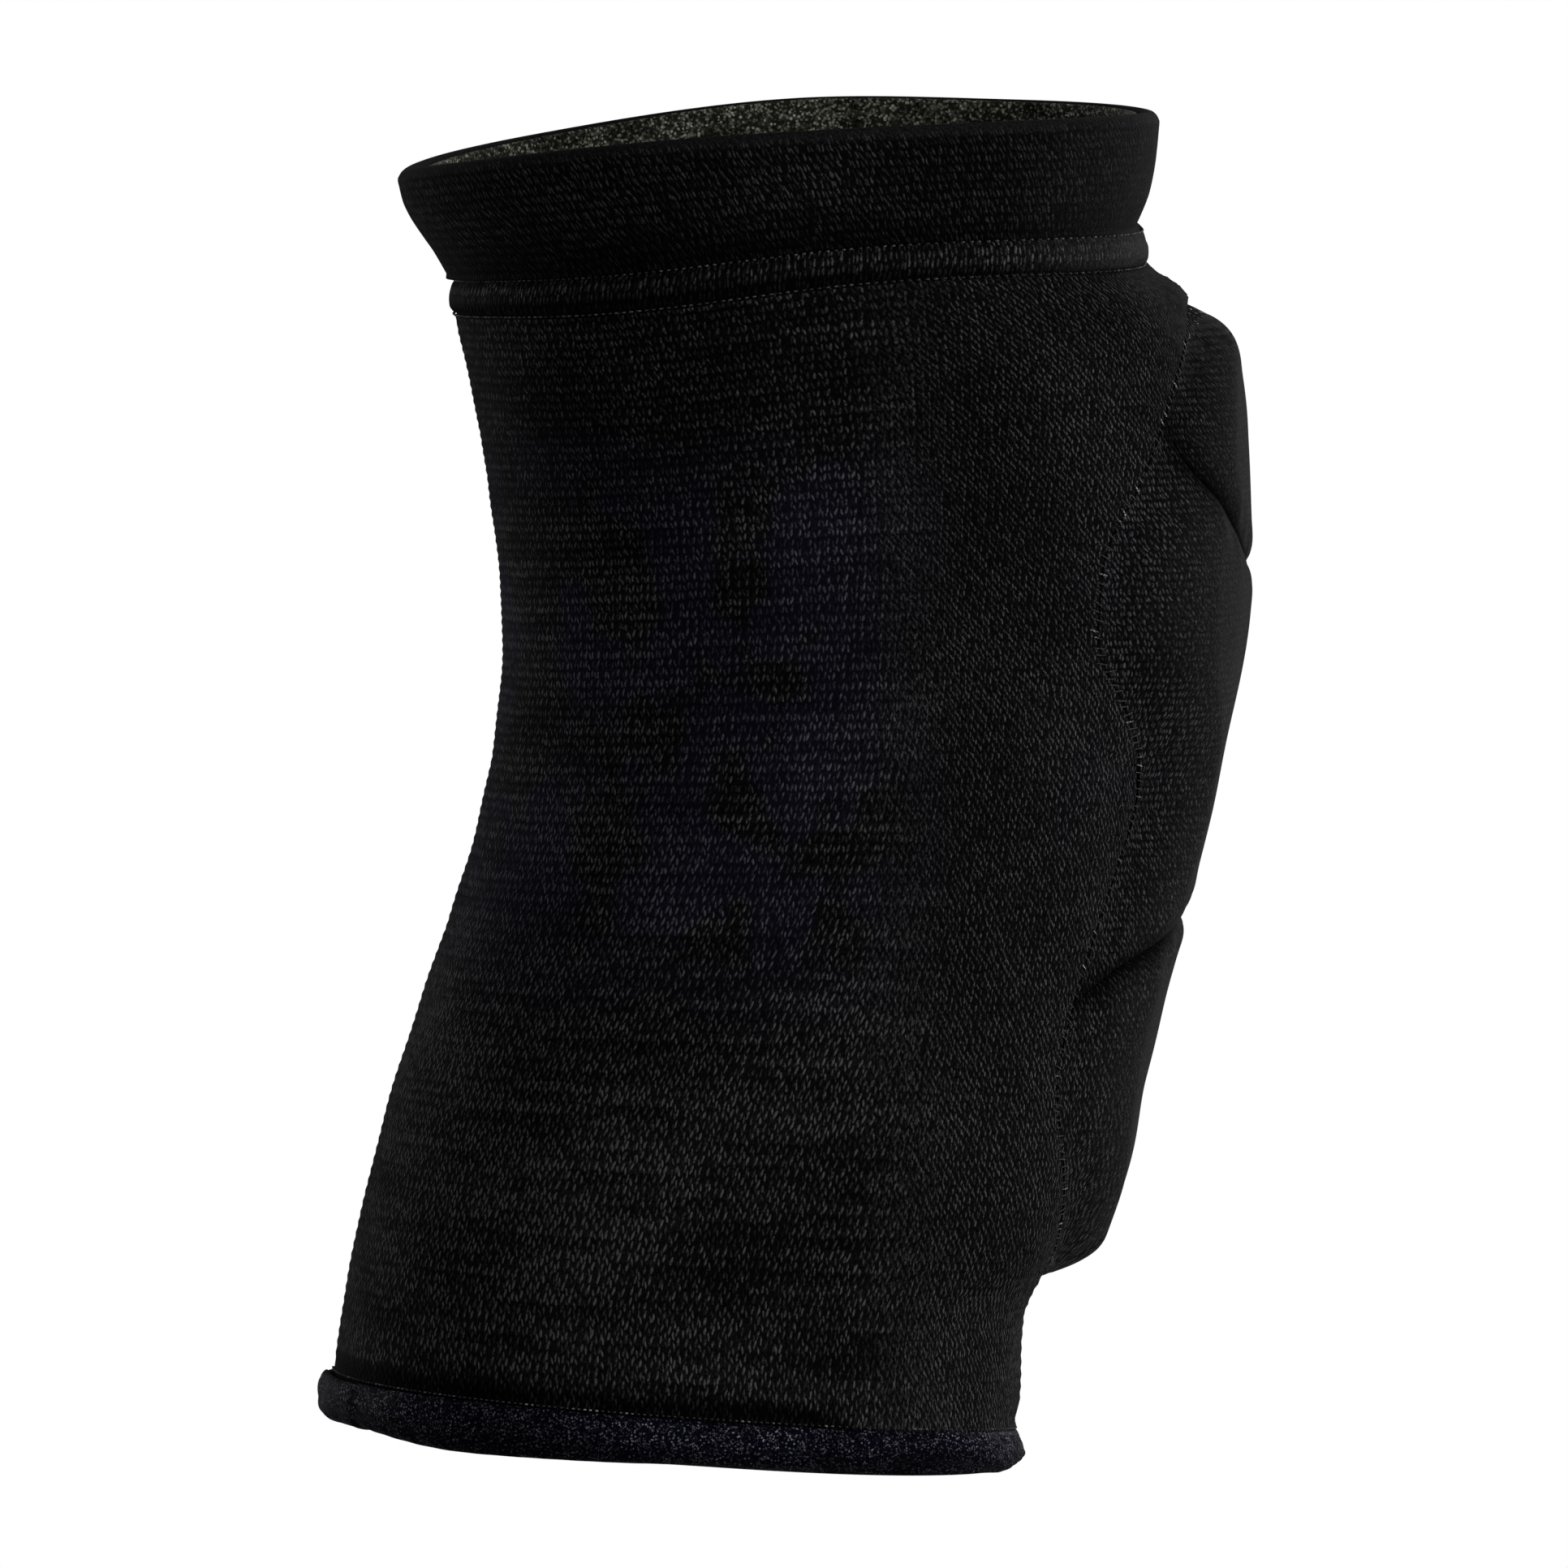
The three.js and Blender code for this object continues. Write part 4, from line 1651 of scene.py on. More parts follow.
@dataclass(frozen=True)
class Sleeve:
    """The knitted tube."""

    leg: Leg
    shape: PadShape
    wall: float = 2.2
    welt_height: float = 5.2
    welt_recess: float = 0.6
    hem_tuck: float = 5.0
    clearance: float = 0.3
    columns: int = 400
    lining_rows: int = 14
    row_relief: float = 0.07
    tent: float = 1.4
    valley_depth: float = 0.12
    pull_depth: float = 0.14
    hem_draw: float = 0.7
    foot: float = -0.03
    unevenness: float = 0.1
    marks: tuple[Mark, ...] = (
        Mark(((-40.3, 54.6), (-22.0, 55.4), (-5.2, 54.2)), 0.35, 1.1),
        Mark(((6.1, 54.8), (6.4, 40.0), (5.8, 26.8)), 0.22, 1.0),
        Mark(((-5.2, 23.8), (-6.8, -23.2), (-12.1, -52.1)), 0.2, 1.1),
        Mark(((37.0, 15.5), (44.0, 10.5), (51.0, 4.5)), 0.55, 2.2),
        Mark(((-16.2, -76.6), (-14.4, -78.0)), 0.5, 1.2),
    )

    def relief(self, angle: Array, along: Array, points: Array) -> Array:
        """Rows of stitches, creases and the valley along the pad's border.

        Args:
            angle: Angles round the leg.
            along: Shares of the sleeve's height.
            points: The smooth surface's points.

        Returns:
            Millimetres outward.
        """
        knit = self.leg.knit(angle, along)
        girth = self.leg.girth(angle, along)
        height = along * self.leg.front_height
        away = self.shape.outside(girth, height)
        clear = smoothstep(away, -1.0, 3.0)
        rows = -self.row_relief * np.cos(TURN * knit[..., 1]) * clear
        slow = self.unevenness * Unevenness(5).at(girth, height) * clear
        valley = -self.valley_depth * hump(away - 0.3, 1.6)
        pull = np.sin(TURN * (height + 0.5 * girth) / 4.6 + 2.0 * np.sin(height / 10.0))
        drawn = self.pull_depth * pull * hump(away - 4.0, 3.4)
        top = self.shape.leg.pad_start + self.shape.leg.pad_length
        tent = smoothstep(height, top, top + 1.2) * (1 - smoothstep(height, top + 1.6, top + 6.5))
        spread = 1 - smoothstep(np.abs(angle), 0.25, 0.7)
        lift = rows + slow + valley + drawn + self.tent * tent * spread
        for mark in self.marks:
            lift = lift - mark.at(points)
        ends = smoothstep(along, 0.0, 0.02) * smoothstep(1 - along, 0.004, 0.02)
        return lift * ends - self.drawn_in(angle) * (1 - smoothstep(height, -0.5, 2.5))

    def drawn_in(self, angle: Array) -> Array:
        """How far the hem's band draws the front of the lower edge in."""
        return self.hem_draw * hump(angle - 0.1, 0.6)

    def build(self, wardrobe: Wardrobe) -> None:
        """Makes the sleeve and puts it in place.

        Args:
            wardrobe: The finishes.
        """
        leg, seam = self.leg, self.welt_height * 0.45
        turn = ring_angles(self.columns)
        rows = np.linspace(0, 1, leg.courses * 2 + 1)
        courses = leg.courses * rows * (1 + leg.course_crowding * (rows - 1))
        evened = np.interp(np.linspace(0, leg.courses, len(rows)), courses, rows)
        angle, along = grid(turn, evened[:-1])
        smooth = leg.point(angle, along)
        outer = smooth + ring_normals(smooth) * self.relief(angle, along, smooth)[..., None]
        lining = np.linspace(0.95, 0, self.lining_rows)
        turn_in, inside = grid(turn, lining)
        inner = leg.point(turn_in, inside, -self.wall, 0.0, False)

        def ring(at: float, outward: Array | float, rise: float) -> Array:
            """One loop of points at an end of the tube."""
            return leg.point(turn, at, outward, rise, False)[:, None]

        points = np.concatenate(
            (
                ring(0, -self.drawn_in(turn), -self.hem_tuck),
                outer,
                ring(1, 0, -self.clearance * 2),
                ring(1, -self.welt_recess, -self.clearance),
                ring(1, -self.welt_recess, seam),
                ring(1, -self.wall, seam),
                inner,
                ring(0, -self.wall, -self.hem_tuck),
            ),
            1,
        )
        heights = np.concatenate(
            ((self.foot,), evened[:-1], (1, 1, 1.01, 1.01), lining, (self.foot,))
        )
        knit = leg.knit(*grid(turn, heights))
        piece = ring_piece("sleeve_knitted", wardrobe.of(Finish.SLEEVE_KNIT), points, knit)
        put_in_place(piece, "knit", "sleeve")


@dataclass(frozen=True)
class Cuff:
    """The flared cuff, its welt and its facing."""

    leg: Leg
    height: float = 23.5
    wall: float = 3.0
    flare_back: float = 9.0
    flare_front: float = 2.3
    lean: float = 1.4
    welt_height: float = 5.2
    welt_thickness: float = 1.3
    welt_recess: float = 0.6
    facing_foot: float = 16.3
    facing_wall: float = 1.2
    facing_setback: float = 0.25
    facing_top_round: float = 0.5
    facing_foot_round: float = 0.4
    clearance: float = 0.12
    facing_gap: float = 0.3
    columns: int = 440
    welt_columns: int = 1120
    courses_per_mm: float = 0.62
    radius: float = 55.0
    unevenness: float = 0.09
    welt_pinch: float = 0.12
    welt_unevenness: float = 0.05
    welt_pressing: float = 0.9
    welt_courses: float = 3.4
    band_rows: int = 44
    rim_rows: int = 10
    lining_rows: int = 16
    welt_rows: int = 20
    facing_rows: int = 24
    flares: Curve = Curve(((0.26, 0.0), (0.5, 0.5), (0.72, 0.86), (0.92, 1.0)))
    leans: Curve = Curve(((0.24, 1.0), (0.34, 0.5), (0.46, 0.1), (0.92, 0.0)))
    rim_waves: Curve = Curve(
        (
            (-3.14, -0.9), (-2.7, 0.2), (-2.0, 1.0), (-1.3, 0.6), (-0.6, 1.0), (0.0, 0.4),
            (0.5, -0.3), (1.0, 0.0), (1.6, 1.4), (2.3, 0.2), (2.8, -0.4), (3.14, -0.9),
        )
    )

    def flare(self, angle: Array) -> Array:
        """Flare of the rim at an angle round the leg."""
        return blend(self.flare_front, self.flare_back, (1 - np.cos(angle)) / 2)

    def out(self, angle: Array, rise: Array) -> Array:
        """Distance of the cuff's outer face outside the leg.

        Args:
            angle: Angles round the leg.
            rise: Heights over the welt's lower edge.

        Returns:
            Millimetres.
        """
        share = rise / self.height
        lean = self.leans.at(share) * self.lean * np.cos(angle)
        return self.flares.at(share) * self.flare(angle) - lean

    def wave(self, angle: Array, rise: Array) -> Array:
        """Millimetres that the rim's slow waves carry a point up, which grow towards the rim."""
        return self.rim_waves.at(angle) * smoothstep(rise / self.height, 0.25, 1.0)

    def wall_points(self, angle: Array, inset: float, rises: Array) -> Array:
        """Points up the cuff at an inset from its outer face.

        Args:
            angle: Angles of the columns.
            inset: Millimetres in from the outer face.
            rises: Heights over the welt's lower edge.

        Returns:
            A grid of points.
        """
        turn, rise = grid(angle, rises)
        lifted = rise + self.wave(turn, rise)
        return self.leg.point(turn, 1.0, self.out(turn, rise) - inset, lifted)

    def knit(self, angle: Array, rises: Array) -> Array:
        """Pairs of wale and course over the cuff, from a running height for each row."""
        turn, rise = grid(angle, rises)
        return np.stack((self.leg.wale(turn), rise * self.courses_per_mm), -1)

    def build_band(self, wardrobe: Wardrobe) -> None:
        """Makes the cuff with its rounded rim.

        Args:
            wardrobe: The finishes.
        """
        seam = self.welt_height * 0.45
        shoulder = self.welt_height + self.clearance
        roll = self.wall / 2
        top = self.height - roll
        turn = ring_angles(self.columns)
        rises = np.linspace(shoulder + self.clearance, top, self.band_rows)
        outer = self.wall_points(turn, 0.0, rises)
        girth, up = grid(turn * self.radius, rises)
        calm = smoothstep(up, shoulder, shoulder + 2)
        slow = Unevenness(23, 10.0, 34.0).at(girth, up) * self.unevenness
        outer = outer + ring_normals(outer) * (slow * calm)[..., None]
        half = np.linspace(0, math.pi, self.rim_rows)[1:-1]
        around, bend = grid(turn, half)
        outward = self.flare(around) - roll + roll * np.cos(bend)
        crest = top + roll * np.sin(bend)
        rim = self.leg.point(around, 1.0, outward, crest + self.wave(around, crest))
        down = np.linspace(top, seam + self.clearance, self.lining_rows)
        inner = self.wall_points(turn, self.wall, down)
        foot = [
            self.leg.point(turn, 1.0, -self.welt_recess, rise)[:, None]
            for rise in (seam + self.clearance, shoulder)
        ]
        points = np.concatenate((*foot, outer, rim, inner), 1)
        fold = top + roll * half
        beyond = top + roll * math.pi + (top - down)
        running = np.concatenate(((seam, shoulder), rises, fold, beyond))
        knit = self.knit(turn, running)
        piece = ring_piece("cuff_knitted", wardrobe.of(Finish.CUFF_KNIT), points, knit)
        angles, climb = grid(turn[:-1], running)
        crest = smoothstep(climb, top - 1.2, top + 1.2)
        ahead = 0.9 * smoothstep(np.cos(angles), 0.45, 0.95)
        carry(piece, STRETCH, np.maximum(crest, ahead))
        put_in_place(piece, "cuff_knit", "cuff_band")

    def welt_out(self, share: Array) -> Array:
        """Bulge of the welt at a share of its height, fullest below its middle."""
        return np.sqrt(np.maximum(1 - np.abs(2 * share**0.8 - 1) ** 2.0, 0)) * (1.04 - 0.12 * share)

    def flattening(self, angle: Array) -> Array:
        """Share of the welt's upper edge that is pressed flat, past the front."""
        return hump(angle - 0.4, 0.6)

    def build_welt(self, wardrobe: Wardrobe) -> None:
        """Makes the raised welt with its stitched edges.

        Args:
            wardrobe: The finishes.
        """
        inside = self.clearance - self.welt_recess
        turn = ring_angles(self.welt_columns)
        share = (1 - np.cos(np.linspace(0, math.pi, self.welt_rows))) / 2
        angle, part = grid(turn, share)
        edges = hump(part - 0.1, 0.12) + hump(part - 0.9, 0.12)
        pinch = self.welt_pinch * np.cos(TURN * self.leg.wale(angle)) * edges
        slow = Unevenness(31, 9.0, 26.0).at(angle * self.radius, part * 5)
        slow = slow * self.welt_unevenness
        thick = self.welt_thickness * self.welt_out(part)
        drawn = self.welt_pressing * self.flattening(angle) * smoothstep(part, 0.3, 0.9)
        thick = thick * (1 + slow - pinch) * (1 - drawn)
        points = self.leg.point(angle, 1.0, inside + thick, self.welt_height * part)
        back_rows = np.array([0.75, 0.5, 0.25])
        around, down = grid(turn, back_rows)
        back = self.leg.point(around, 1.0, inside - 0.02, self.welt_height * down)
        running = np.concatenate((share * self.welt_courses, self.welt_courses + (1 - back_rows)))
        turns, courses = grid(turn, running)
        knit = np.stack((self.leg.wale(turns), courses), -1)
        points = np.concatenate((points, back), 1)
        piece = ring_piece("welt_knitted", wardrobe.of(Finish.WELT_KNIT), points, knit)
        carry(piece, STRETCH, smoothstep(np.cos(turns[:-1]), 0.5, 0.95))
        put_in_place(piece, "cuff_knit", "cuff_welt")

    def build_facing(self, wardrobe: Wardrobe) -> None:
        """Makes the elastic facing inside the cuff.

        Args:
            wardrobe: The finishes.
        """
        high = self.height - self.facing_setback
        low = self.height - self.facing_foot
        outer = self.wall + self.facing_gap
        turn = ring_angles(self.columns)
        foot, top = low + self.facing_foot_round, high - self.facing_top_round
        rises = np.linspace(foot, top, self.facing_rows)

        def rounded(bends: Array, way: int, start: float, depth: float) -> list[Array]:
            """Rows round the top edge or round the foot.

            Args:
                bends: Angles round the edge.
                way: One at the top and minus one at the foot.
                start: Height where the rounding starts.
                depth: Its height.

            Returns:
                A ring of points to a row.
            """
            rows = []
            for bend in bends:
                inset = outer + self.facing_wall * (1 - way * math.cos(bend)) / 2
                rise = np.array([start + way * depth * math.sin(bend)])
                rows.append(self.wall_points(turn, inset, rise))
            return rows

        points = np.concatenate(
            (
                self.wall_points(turn, outer, rises),
                *rounded(np.linspace(0, math.pi, 7)[1:-1], 1, top, self.facing_top_round),
                self.wall_points(turn, outer + self.facing_wall, rises[::-1]),
                *rounded(np.linspace(0, math.pi, 5)[1:-1], -1, foot, self.facing_foot_round),
            ),
            1,
        )
        knit = self.knit(turn, np.arange(points.shape[1]) * 0.8)
        finish = wardrobe.of(Finish.FACING_ELASTIC)
        piece = ring_piece("facing_elastic_band", finish, points, knit)
        put_in_place(piece, "elastic", "cuff_facing")

    def build(self, wardrobe: Wardrobe) -> None:
        """Makes the cuff's three pieces.

        Args:
            wardrobe: The finishes.
        """
        self.build_band(wardrobe)
        self.build_welt(wardrobe)
        self.build_facing(wardrobe)


@dataclass(frozen=True)
class Hem:
    """The satin band folded round the sleeve's lower edge."""

    leg: Leg
    height: float = 7.4
    wall: float = 1.5
    tuck: float = 5.0
    sleeve_wall: float = 2.2
    inner_drop: float = 1.1
    clearance: float = 0.3
    columns: int = 720
    lap_angle: float = -2.72
    lap_step: float = 0.45
    dip_front: float = 2.8
    dip_back: float = 0.8
    round_from: float = 0.68
    lip_from: float = 0.2
    side_swell: float = 0.12
    under_rows: int = 20
    side_rows: int = 7
    lip_rows: int = 5
    radius: float = 53.0
    unevenness: float = 0.16
    twist: float = 0.1
    roll: float = 0.95
    roll_growth: float = 1.45
    drops: Curve = Curve(
        (
            (-3.14, 0.0), (-2.76, -0.2), (-2.57, 0.5), (-2.42, 1.05), (-2.24, 1.3),
            (-2.06, 1.05), (-1.76, 0.5), (-1.55, -0.1), (-1.17, -0.4), (-1.0, -1.0),
            (-0.85, -1.85), (-0.69, -1.5), (-0.53, 0.2), (-0.3, 0.0), (0.6, -0.5), (1.5, 0.4),
            (2.3, -0.5), (3.14, 0.0),
        )
    )

    def dip(self, angle: Array) -> Array:
        """How far the band's upper edge hangs down, which is most just past the front."""
        return self.dip_front * hump(angle - 0.2, 0.65) + self.dip_back * hump(angle - 2.85, 0.4)

    def outline(self) -> tuple[Array, Array, Array]:
        """The band's section with rounded turns.

        Returns:
            Distances out, rises, and how freely each row may puff.
        """
        slot_out = self.clearance
        slot_in = -self.sleeve_wall - self.clearance
        floor = -self.tuck - self.clearance
        outside = slot_out + self.wall
        inside = slot_in - self.wall
        middle = (inside + outside) / 2
        half = (outside - inside) / 2
        turn = np.linspace(0, math.pi, self.under_rows)
        under_out = middle - half * np.cos(turn)
        bottom = -self.height * self.round_from
        under_rise = bottom - (self.height + bottom) * np.sin(turn) ** 0.8
        lip_foot = self.height * self.lip_from
        side_rise = np.linspace(bottom, -lip_foot, self.side_rows + 1)[1:]
        side_puff = np.sin(np.linspace(0, math.pi, self.side_rows + 1))[1:] * self.side_swell
        lip = np.linspace(0, math.pi / 2, self.lip_rows + 1)[1:]
        lip_out = slot_out + self.wall * 0.5 + self.wall * 0.5 * np.cos(lip)
        lip_rise = -lip_foot + lip_foot * np.sin(lip)
        slot = [
            (slot_out, -self.height * 0.06),
            (slot_out, floor),
            (slot_in, floor),
            (slot_in, -self.inner_drop),
            (inside, -self.inner_drop),
            (inside, -self.height * 0.4),
        ]
        slot_outs, slot_rises = np.array(slot).T
        sides = np.full(self.side_rows, outside) + side_puff
        out = np.concatenate((under_out, sides, lip_out, slot_outs))
        rise = np.concatenate((under_rise, side_rise, lip_rise, slot_rises))
        full = np.ones(self.under_rows + self.side_rows)
        free = np.concatenate((full, np.linspace(0.8, 0.3, self.lip_rows), np.zeros(len(slot))))
        return out, rise, free

    def build(self, wardrobe: Wardrobe) -> None:
        """Makes the band and puts it in place.

        Args:
            wardrobe: The finishes.
        """
        out, rise, free = self.outline()
        turn = ring_angles(self.columns)
        angle, outward = grid(turn, out)
        _, up = grid(turn, rise)
        _, freedom = grid(turn, free)
        girth = angle * self.radius
        slow = Unevenness(41, 9.0, 38.0).at(girth, up * 2) * self.unevenness
        twist = np.sin(TURN * (girth + 1.6 * up) / 5.2 + 2 * np.sin(girth / 13.0)) * self.twist
        lapped = self.lap_step * smoothstep(-(angle - self.lap_angle), -0.02, 0.02)
        outside = smoothstep(outward, -1.4, 0.4)
        puff = (slow + twist + lapped) * freedom * outside
        rolled = self.roll + self.roll_growth * smoothstep(up, -6.5, -3.0)
        outward = outward - rolled * hump(angle - 0.1, 0.6) * outside
        up = up - self.dip(angle) * smoothstep(up, -4.5, -0.8) * outside
        low = smoothstep(-up, 1.5, 6.0)
        sag = lapped * 0.6 * freedom + self.drops.at(angle) * low * outside
        points = self.leg.point(angle, 0.0, outward + puff, up - sag, False)
        running = np.cumsum(np.hypot(np.diff(out, prepend=out[0]), np.diff(rise, prepend=rise[0])))
        turns, courses = grid(turn, running)
        knit = np.stack((self.leg.wale(turns), courses), -1)
        piece = ring_piece("hem_satin_band", wardrobe.of(Finish.HEM_SATIN), points, knit)
        # The stretch attribute here carries height up the band, which makes its painted glints
        # brighter towards the top.
        high = smoothstep(np.tile(rise, (len(turn) - 1, 1)), -6.5, -1.5)
        carry(piece, STRETCH, high)
        put_in_place(piece, "satin", "hem_band")


@dataclass
class Stitching:
    """Rows of sewn stitches, each a short bent tube of thread."""

    name: str
    radius: float
    sides: int = 6
    steps: int = 7
    finish: Finish = Finish.THREAD
    threads: list[Array] = field(default_factory=list)

    def add(self, start: Array, top: Array, end: Array) -> None:
        """Adds one stitch, which arches from its start towards its top point and on to its end."""
        t = np.linspace(0, 1, self.steps)[:, None]
        self.threads.append((1 - t) ** 2 * start + 2 * t * (1 - t) * top + t**2 * end)

    def build(self, wardrobe: Wardrobe) -> None:
        """Makes the stitches as one piece.

        Args:
            wardrobe: The finishes.
        """
        work = Patchwork()
        cells = math.ceil(math.sqrt(len(self.threads)))
        ring = np.linspace(0, TURN, self.sides + 1)
        faces = grid_faces(self.steps, self.sides, False, True)
        share = np.stack(grid(np.linspace(0, 1, self.steps), ring / TURN), -1)
        for number, line in enumerate(self.threads):
            heading = np.gradient(line, axis=0)
            heading /= np.linalg.norm(heading, axis=1, keepdims=True)
            beside = np.cross(heading, np.array([0.31, 0.17, 0.94]))
            beside /= np.linalg.norm(beside, axis=1, keepdims=True)
            above = np.cross(heading, beside)
            taper = 0.45 + 0.55 * np.sin(np.linspace(0, math.pi, self.steps)) ** 0.5
            round_it = (
                beside[:, None] * np.cos(ring[:-1])[None, :, None]
                + above[:, None] * np.sin(ring[:-1])[None, :, None]
            )
            points = line[:, None] + round_it * self.radius * taper[:, None, None]
            cell = np.array([number % cells, number // cells])
            bake = (share * 0.9 + 0.05 + cell) / cells
            yarn = share + (number * 1.37 % 1.0, 0.0)
            work.add(points, faces, face_values(yarn), face_values(bake))
            self.cap(work, share, cell, cells)
        piece = work.build(self.name, wardrobe.of(self.finish))
        put_in_place(piece, None)

    def cap(self, work: Patchwork, share: Array, cell: Array, cells: int) -> None:
        """Closes both ends of the last tube.

        Args:
            work: The piece.
            share: Places over one tube.
            cell: The tube's cell in the bake.
            cells: Number of cells along a side of the bake.
        """
        first = work.count - self.steps * self.sides
        last = work.count - self.sides
        half = self.sides // 2
        flat = np.tile(share[0, 0], (4, 1))
        corner = (flat + cell + 0.02) / cells
        for base, order in ((first, 1), (last, -1)):
            for k in range(half - 1):
                quad = np.array([base, base + 2 * k + 1, base + 2 * k + 2, base + 2 * k + 3])
                work.faces.append(quad[None, ::order])
                work.knit.append(flat[None])
                work.bake.append(corner[None])


@dataclass(frozen=True)
class Seams:
    """The sewn rows: round the pad, along the welt and over the hem."""

    leg: Leg
    pads: Pads
    cuff: Cuff
    hem: Hem
    sleeve: Sleeve
    pitch: float = 1.45
    knee_height: float = 103.0
    seed: int = 17

    def border(self) -> Array:
        """The pad's stitched border as girth and height, round from the lower middle.

        Returns:
            Points at even steps of the stitch pitch.
        """
        shape = self.pads.shape
        share = np.linspace(0, 1, 200)
        ends = []
        for across, place in ((share, shape.bow(share)), (share[::-1], 1 - shape.bow(share[::-1]))):
            ends.append(np.stack((across * shape.half_girth(place), place), -1))
        middle = np.linspace(shape.bow(1.0), 1 - shape.bow(1.0), 400)
        side = np.stack((shape.half_girth(middle), middle), -1)
        half = np.concatenate((ends[0][:-1], side, ends[1][1:]))
        loop = np.concatenate((half, half[::-1] * (-1, 1)))
        loop[:, 1] = self.leg.pad_start + loop[:, 1] * self.leg.pad_length
        steps = np.linalg.norm(np.diff(loop, axis=0), axis=1)
        walk = np.concatenate(([0.0], np.cumsum(steps)))
        keep = np.concatenate(([True], steps > 1e-6))
        even = np.arange(0, walk[-1], self.pitch)
        return np.stack([np.interp(even, walk[keep], loop[keep, k]) for k in (0, 1)], -1)

    def on_pad(self, spot: Array, lift: float) -> Array:
        """Point over the pad or the sleeve at a girth and height.

        Args:
            spot: Girth and height.
            lift: Millimetres over the surface.

        Returns:
            The point.
        """
        shape = self.pads.shape
        girth, height = spot
        along = np.array(height / self.leg.front_height)
        place = np.array((height - self.leg.pad_start) / self.leg.pad_length)
        _, depth, width = self.leg.section(along)
        angle = girth * 2 / (depth + width)
        body = 0.0
        across = girth / float(shape.half_girth(place))
        if abs(across) < 1 and 0 < place < 1:
            for lobe in self.pads.lobes():
                if lobe.low(across) <= place <= lobe.high(across):
                    body = shape.clearance + float(lobe.body(np.array(across), place))
        base = self.leg.point(angle, along)
        out = np.array([math.cos(angle), math.sin(angle), 0.0])
        return base + out * (body + lift)

    def build_border(self, wardrobe: Wardrobe) -> None:
        """Makes the whip stitches round the pad, which show in bundles.

        Args:
            wardrobe: The finishes.
        """
        rng = np.random.default_rng(self.seed)
        loop = self.border()
        ahead = np.roll(loop, -1, 0) - np.roll(loop, 1, 0)
        ahead /= np.linalg.norm(ahead, axis=1, keepdims=True)
        outward = np.stack((ahead[:, 1], -ahead[:, 0]), -1)
        rows = Stitching("pad_whip_stitches", 0.12, finish=Finish.WHIP_THREAD)
        for number, spot in enumerate(loop):
            jitter = rng.normal(0, 0.2, 4)
            wave = 0.5 + 0.5 * math.sin(number / 4.1 + 1.8 * math.sin(number / 13.0))
            open_knee = math.exp(-(((spot[1] - self.knee_height) / 9.0) ** 2))
            proud = max(wave**2 * 0.6, open_knee)
            across, along = outward[number], ahead[number]
            slant = math.copysign(0.45, along[1] * across[0] + TINY)
            inner = spot - across * (0.8 + jitter[0]) + along * (slant + jitter[1])
            outer = spot + across * (0.8 + jitter[2]) - along * (slant + jitter[3])
            start = self.on_pad(outer, -0.2)
            end = self.on_pad(inner, -0.2)
            top = (self.on_pad(inner, 0) + self.on_pad(outer, 0)) / 2
            out = np.array([math.cos(spot[0] / 52), math.sin(spot[0] / 52), 0.0])
            rows.add(start, top + out * (0.1 + 0.8 * proud), end)
        rows.build(wardrobe)

    def dots(
        self,
        name: str,
        count: int,
        length: float,
        radius: float,
        place: Callable[[Array, float], Array],
        wardrobe: Wardrobe,
        finish: Finish = Finish.THREAD,
    ) -> None:
        """Makes a row of short level stitches round the leg.

        Args:
            name: The piece's name.
            count: Stitches in a full round.
            length: Share of the pitch that shows as thread.
            radius: The thread's half thickness.
            place: Point at an angle and a lift.
            wardrobe: The finishes.
            finish: The thread's finish.
        """
        rng = np.random.default_rng(self.seed + count)
        rows = Stitching(name, radius, finish=finish)
        for number in range(count):
            middle = -math.pi + (number + 0.5 + rng.uniform(-0.1, 0.1)) * TURN / count
            reach = length * math.pi / count * rng.uniform(0.85, 1.1)
            start = place(np.array(middle - reach), -0.15)
            end = place(np.array(middle + reach), -0.15)
            rows.add(start, place(np.array(middle), 0.5), end)
        rows.build(wardrobe)

    def build(self, wardrobe: Wardrobe) -> None:
        """Makes every sewn row.

        Args:
            wardrobe: The finishes.
        """
        self.build_border(wardrobe)
        cuff, leg = self.cuff, self.leg

        def over_welt(angle: Array, lift: float) -> Array:
            """Upper edge of the welt."""
            flat = cuff.flattening(angle)
            outward = (0.05 + lift) * (1 - flat) - 0.9 * flat
            return leg.point(angle, 1.0, outward, cuff.welt_height + 0.1)

        def under_welt(angle: Array, lift: float) -> Array:
            """Lower edge of the welt."""
            return leg.point(angle, 1.0, 0.05 + lift, -0.25)

        def over_hem(angle: Array, lift: float) -> Array:
            """Sleeve just over the hem band."""
            outward = 0.05 + lift - self.sleeve.drawn_in(angle)
            return leg.point(angle, 0.0, outward, 0.35 - self.hem.dip(angle), False)

        self.dots("welt_upper_stitches", 272, 0.42, 0.18, over_welt, wardrobe)
        self.dots("welt_lower_stitches", 272, 0.5, 0.15, under_welt, wardrobe)
        self.dots("hem_stitches", 330, 0.45, 0.15, over_hem, wardrobe, Finish.WHIP_THREAD)


@dataclass(frozen=True)
class Lamp:
    """Soft square light: its place and the length of its sides in metres, and its watts."""

    name: str
    place: Place
    size: float
    power: float

    def build(self) -> None:
        """Hangs the light so that it faces the knee pad."""
        data = bpy.data.lights.new(self.name, "AREA")
        data.shape = "SQUARE"
        data.size = self.size
        data.energy = self.power
        lamp = bpy.data.objects.new(self.name, data)
        lamp.location = Vector(self.place)
        lamp.rotation_mode = "QUATERNION"
        lamp.rotation_quaternion = (-Vector(self.place)).to_track_quat("-Z", "Y")
        bpy.context.scene.collection.objects.link(lamp)


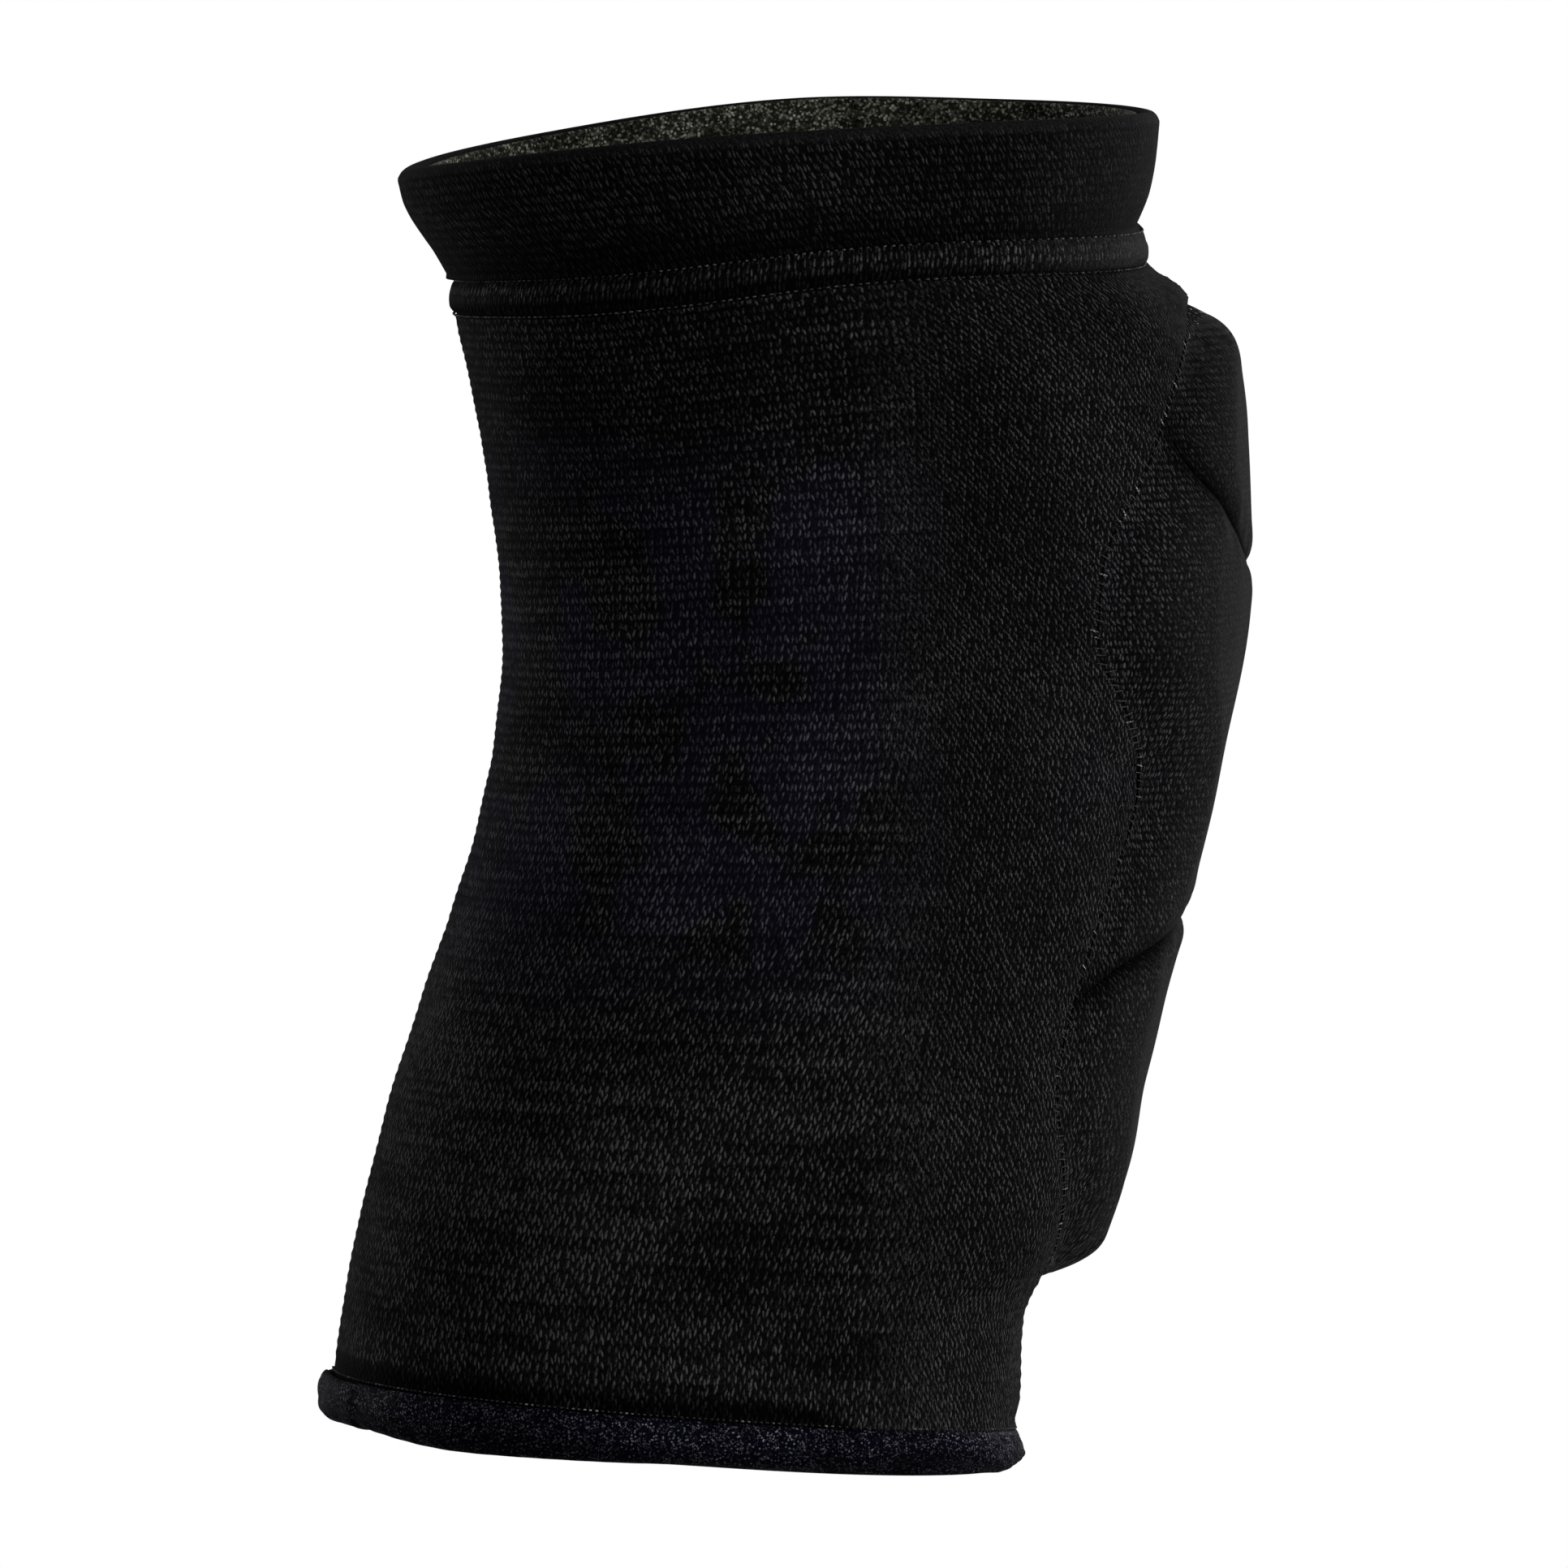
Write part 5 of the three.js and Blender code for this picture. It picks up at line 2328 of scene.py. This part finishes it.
@dataclass(frozen=True)
class Studio:
    """Pale floor, soft lights and the camera of the photograph."""

    target: Place = (-0.0044, 0.0, 0.00075)
    distance: float = 4.0
    elevation: float = 3.8
    lens: float = 573.3
    floor_drop: float = 0.31
    floor_radius: float = 40.0
    floor_grey: Colour = (0.55, 0.55, 0.55)
    world_light: float = 0.19
    lamps: tuple[Lamp, ...] = (
        Lamp("key_light", (1.9, -1.1, 0.05), 1.3, 40.0),
        Lamp("fill_light", (-0.9, -1.8, -0.8), 1.6, 14.0),
        Lamp("rim_light", (1.1, 1.6, 0.7), 1.2, 15.0),
        Lamp("back_light", (-1.5, 1.2, 0.3), 1.2, 11.0),
    )

    def camera(self) -> None:
        """Places the camera."""
        data = bpy.data.cameras.new("photo_camera")
        data.lens = self.lens
        data.sensor_width = 36.0
        data.clip_end = 60.0
        camera = bpy.data.objects.new("photo_camera", data)
        bpy.context.scene.collection.objects.link(camera)
        tip = math.radians(self.elevation)
        back = Vector((0.0, -math.cos(tip), math.sin(tip)))
        camera.location = Vector(self.target) + back * self.distance
        camera.rotation_mode = "QUATERNION"
        camera.rotation_quaternion = (-back).to_track_quat("-Z", "Y")
        bpy.context.scene.camera = camera

    @staticmethod
    def white_for_camera(tree: Tree, dim: Socket, output: Socket) -> None:
        """Shows plain white behind the knee pad while the light itself stays dim.

        Args:
            tree: The node tree.
            dim: Shader that lights the scene.
            output: The tree's output.
        """
        n = Nodes(tree)
        white = n.add("ShaderNodeEmission", Color=(1.0, 1.0, 1.0), Strength=1.0)
        seen = tree.nodes.new("ShaderNodeLightPath").outputs["Is Camera Ray"]
        mixed = tree.nodes.new("ShaderNodeMixShader")
        n.feed(mixed, 0, seen)
        n.feed(mixed, 1, dim)
        n.feed(mixed, 2, white.outputs[0])
        tree.links.new(mixed.outputs[0], output)

    def backdrop(self) -> None:
        """Makes the world and the floor."""
        world = bpy.data.worlds.new("studio_world")
        world.use_nodes = True
        light = world.node_tree.nodes["Background"]
        light.inputs["Color"].default_value = (1.0, 1.0, 1.0, 1.0)
        light.inputs["Strength"].default_value = self.world_light
        output = world.node_tree.nodes["World Output"].inputs["Surface"]
        self.white_for_camera(world.node_tree, light.outputs[0], output)
        bpy.context.scene.world = world
        bpy.ops.mesh.primitive_circle_add(
            vertices=96,
            radius=self.floor_radius,
            fill_type="NGON",
            location=(0.0, 0.0, -self.floor_drop),
        )
        floor = bpy.context.object
        floor.name = "studio_floor"
        material = bpy.data.materials.new("pale_floor")
        material.use_nodes = True
        tree = material.node_tree
        Nodes(tree).surface(Base_Color=self.floor_grey, Roughness=1.0)
        output = tree.nodes["Material Output"].inputs["Surface"]
        self.white_for_camera(tree, tree.nodes[SHADER].outputs[0], output)
        floor.data.materials.append(material)

    def build(self) -> None:
        """Sets the whole studio up."""
        self.camera()
        self.backdrop()
        for lamp in self.lamps:
            lamp.build()
        bpy.context.scene.view_settings.view_transform = "Standard"
        bpy.context.scene.view_settings.look = "None"


def main() -> None:
    """Builds the looks in order."""
    logging.basicConfig(level=logging.INFO, format="%(name)s: %(message)s")
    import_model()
    leg = Leg()
    shape = PadShape(leg)
    pads = Pads(shape)
    cuff = Cuff(leg)
    wardrobe = Wardrobe()
    Studio().build()
    sleeve = Sleeve(leg, shape)
    sleeve.build(wardrobe)
    pads.build(wardrobe)
    cuff.build(wardrobe)
    hem = Hem(leg)
    hem.build(wardrobe)
    Seams(leg, pads, cuff, hem, sleeve).build(wardrobe)


if __name__ == "__main__":
    main()
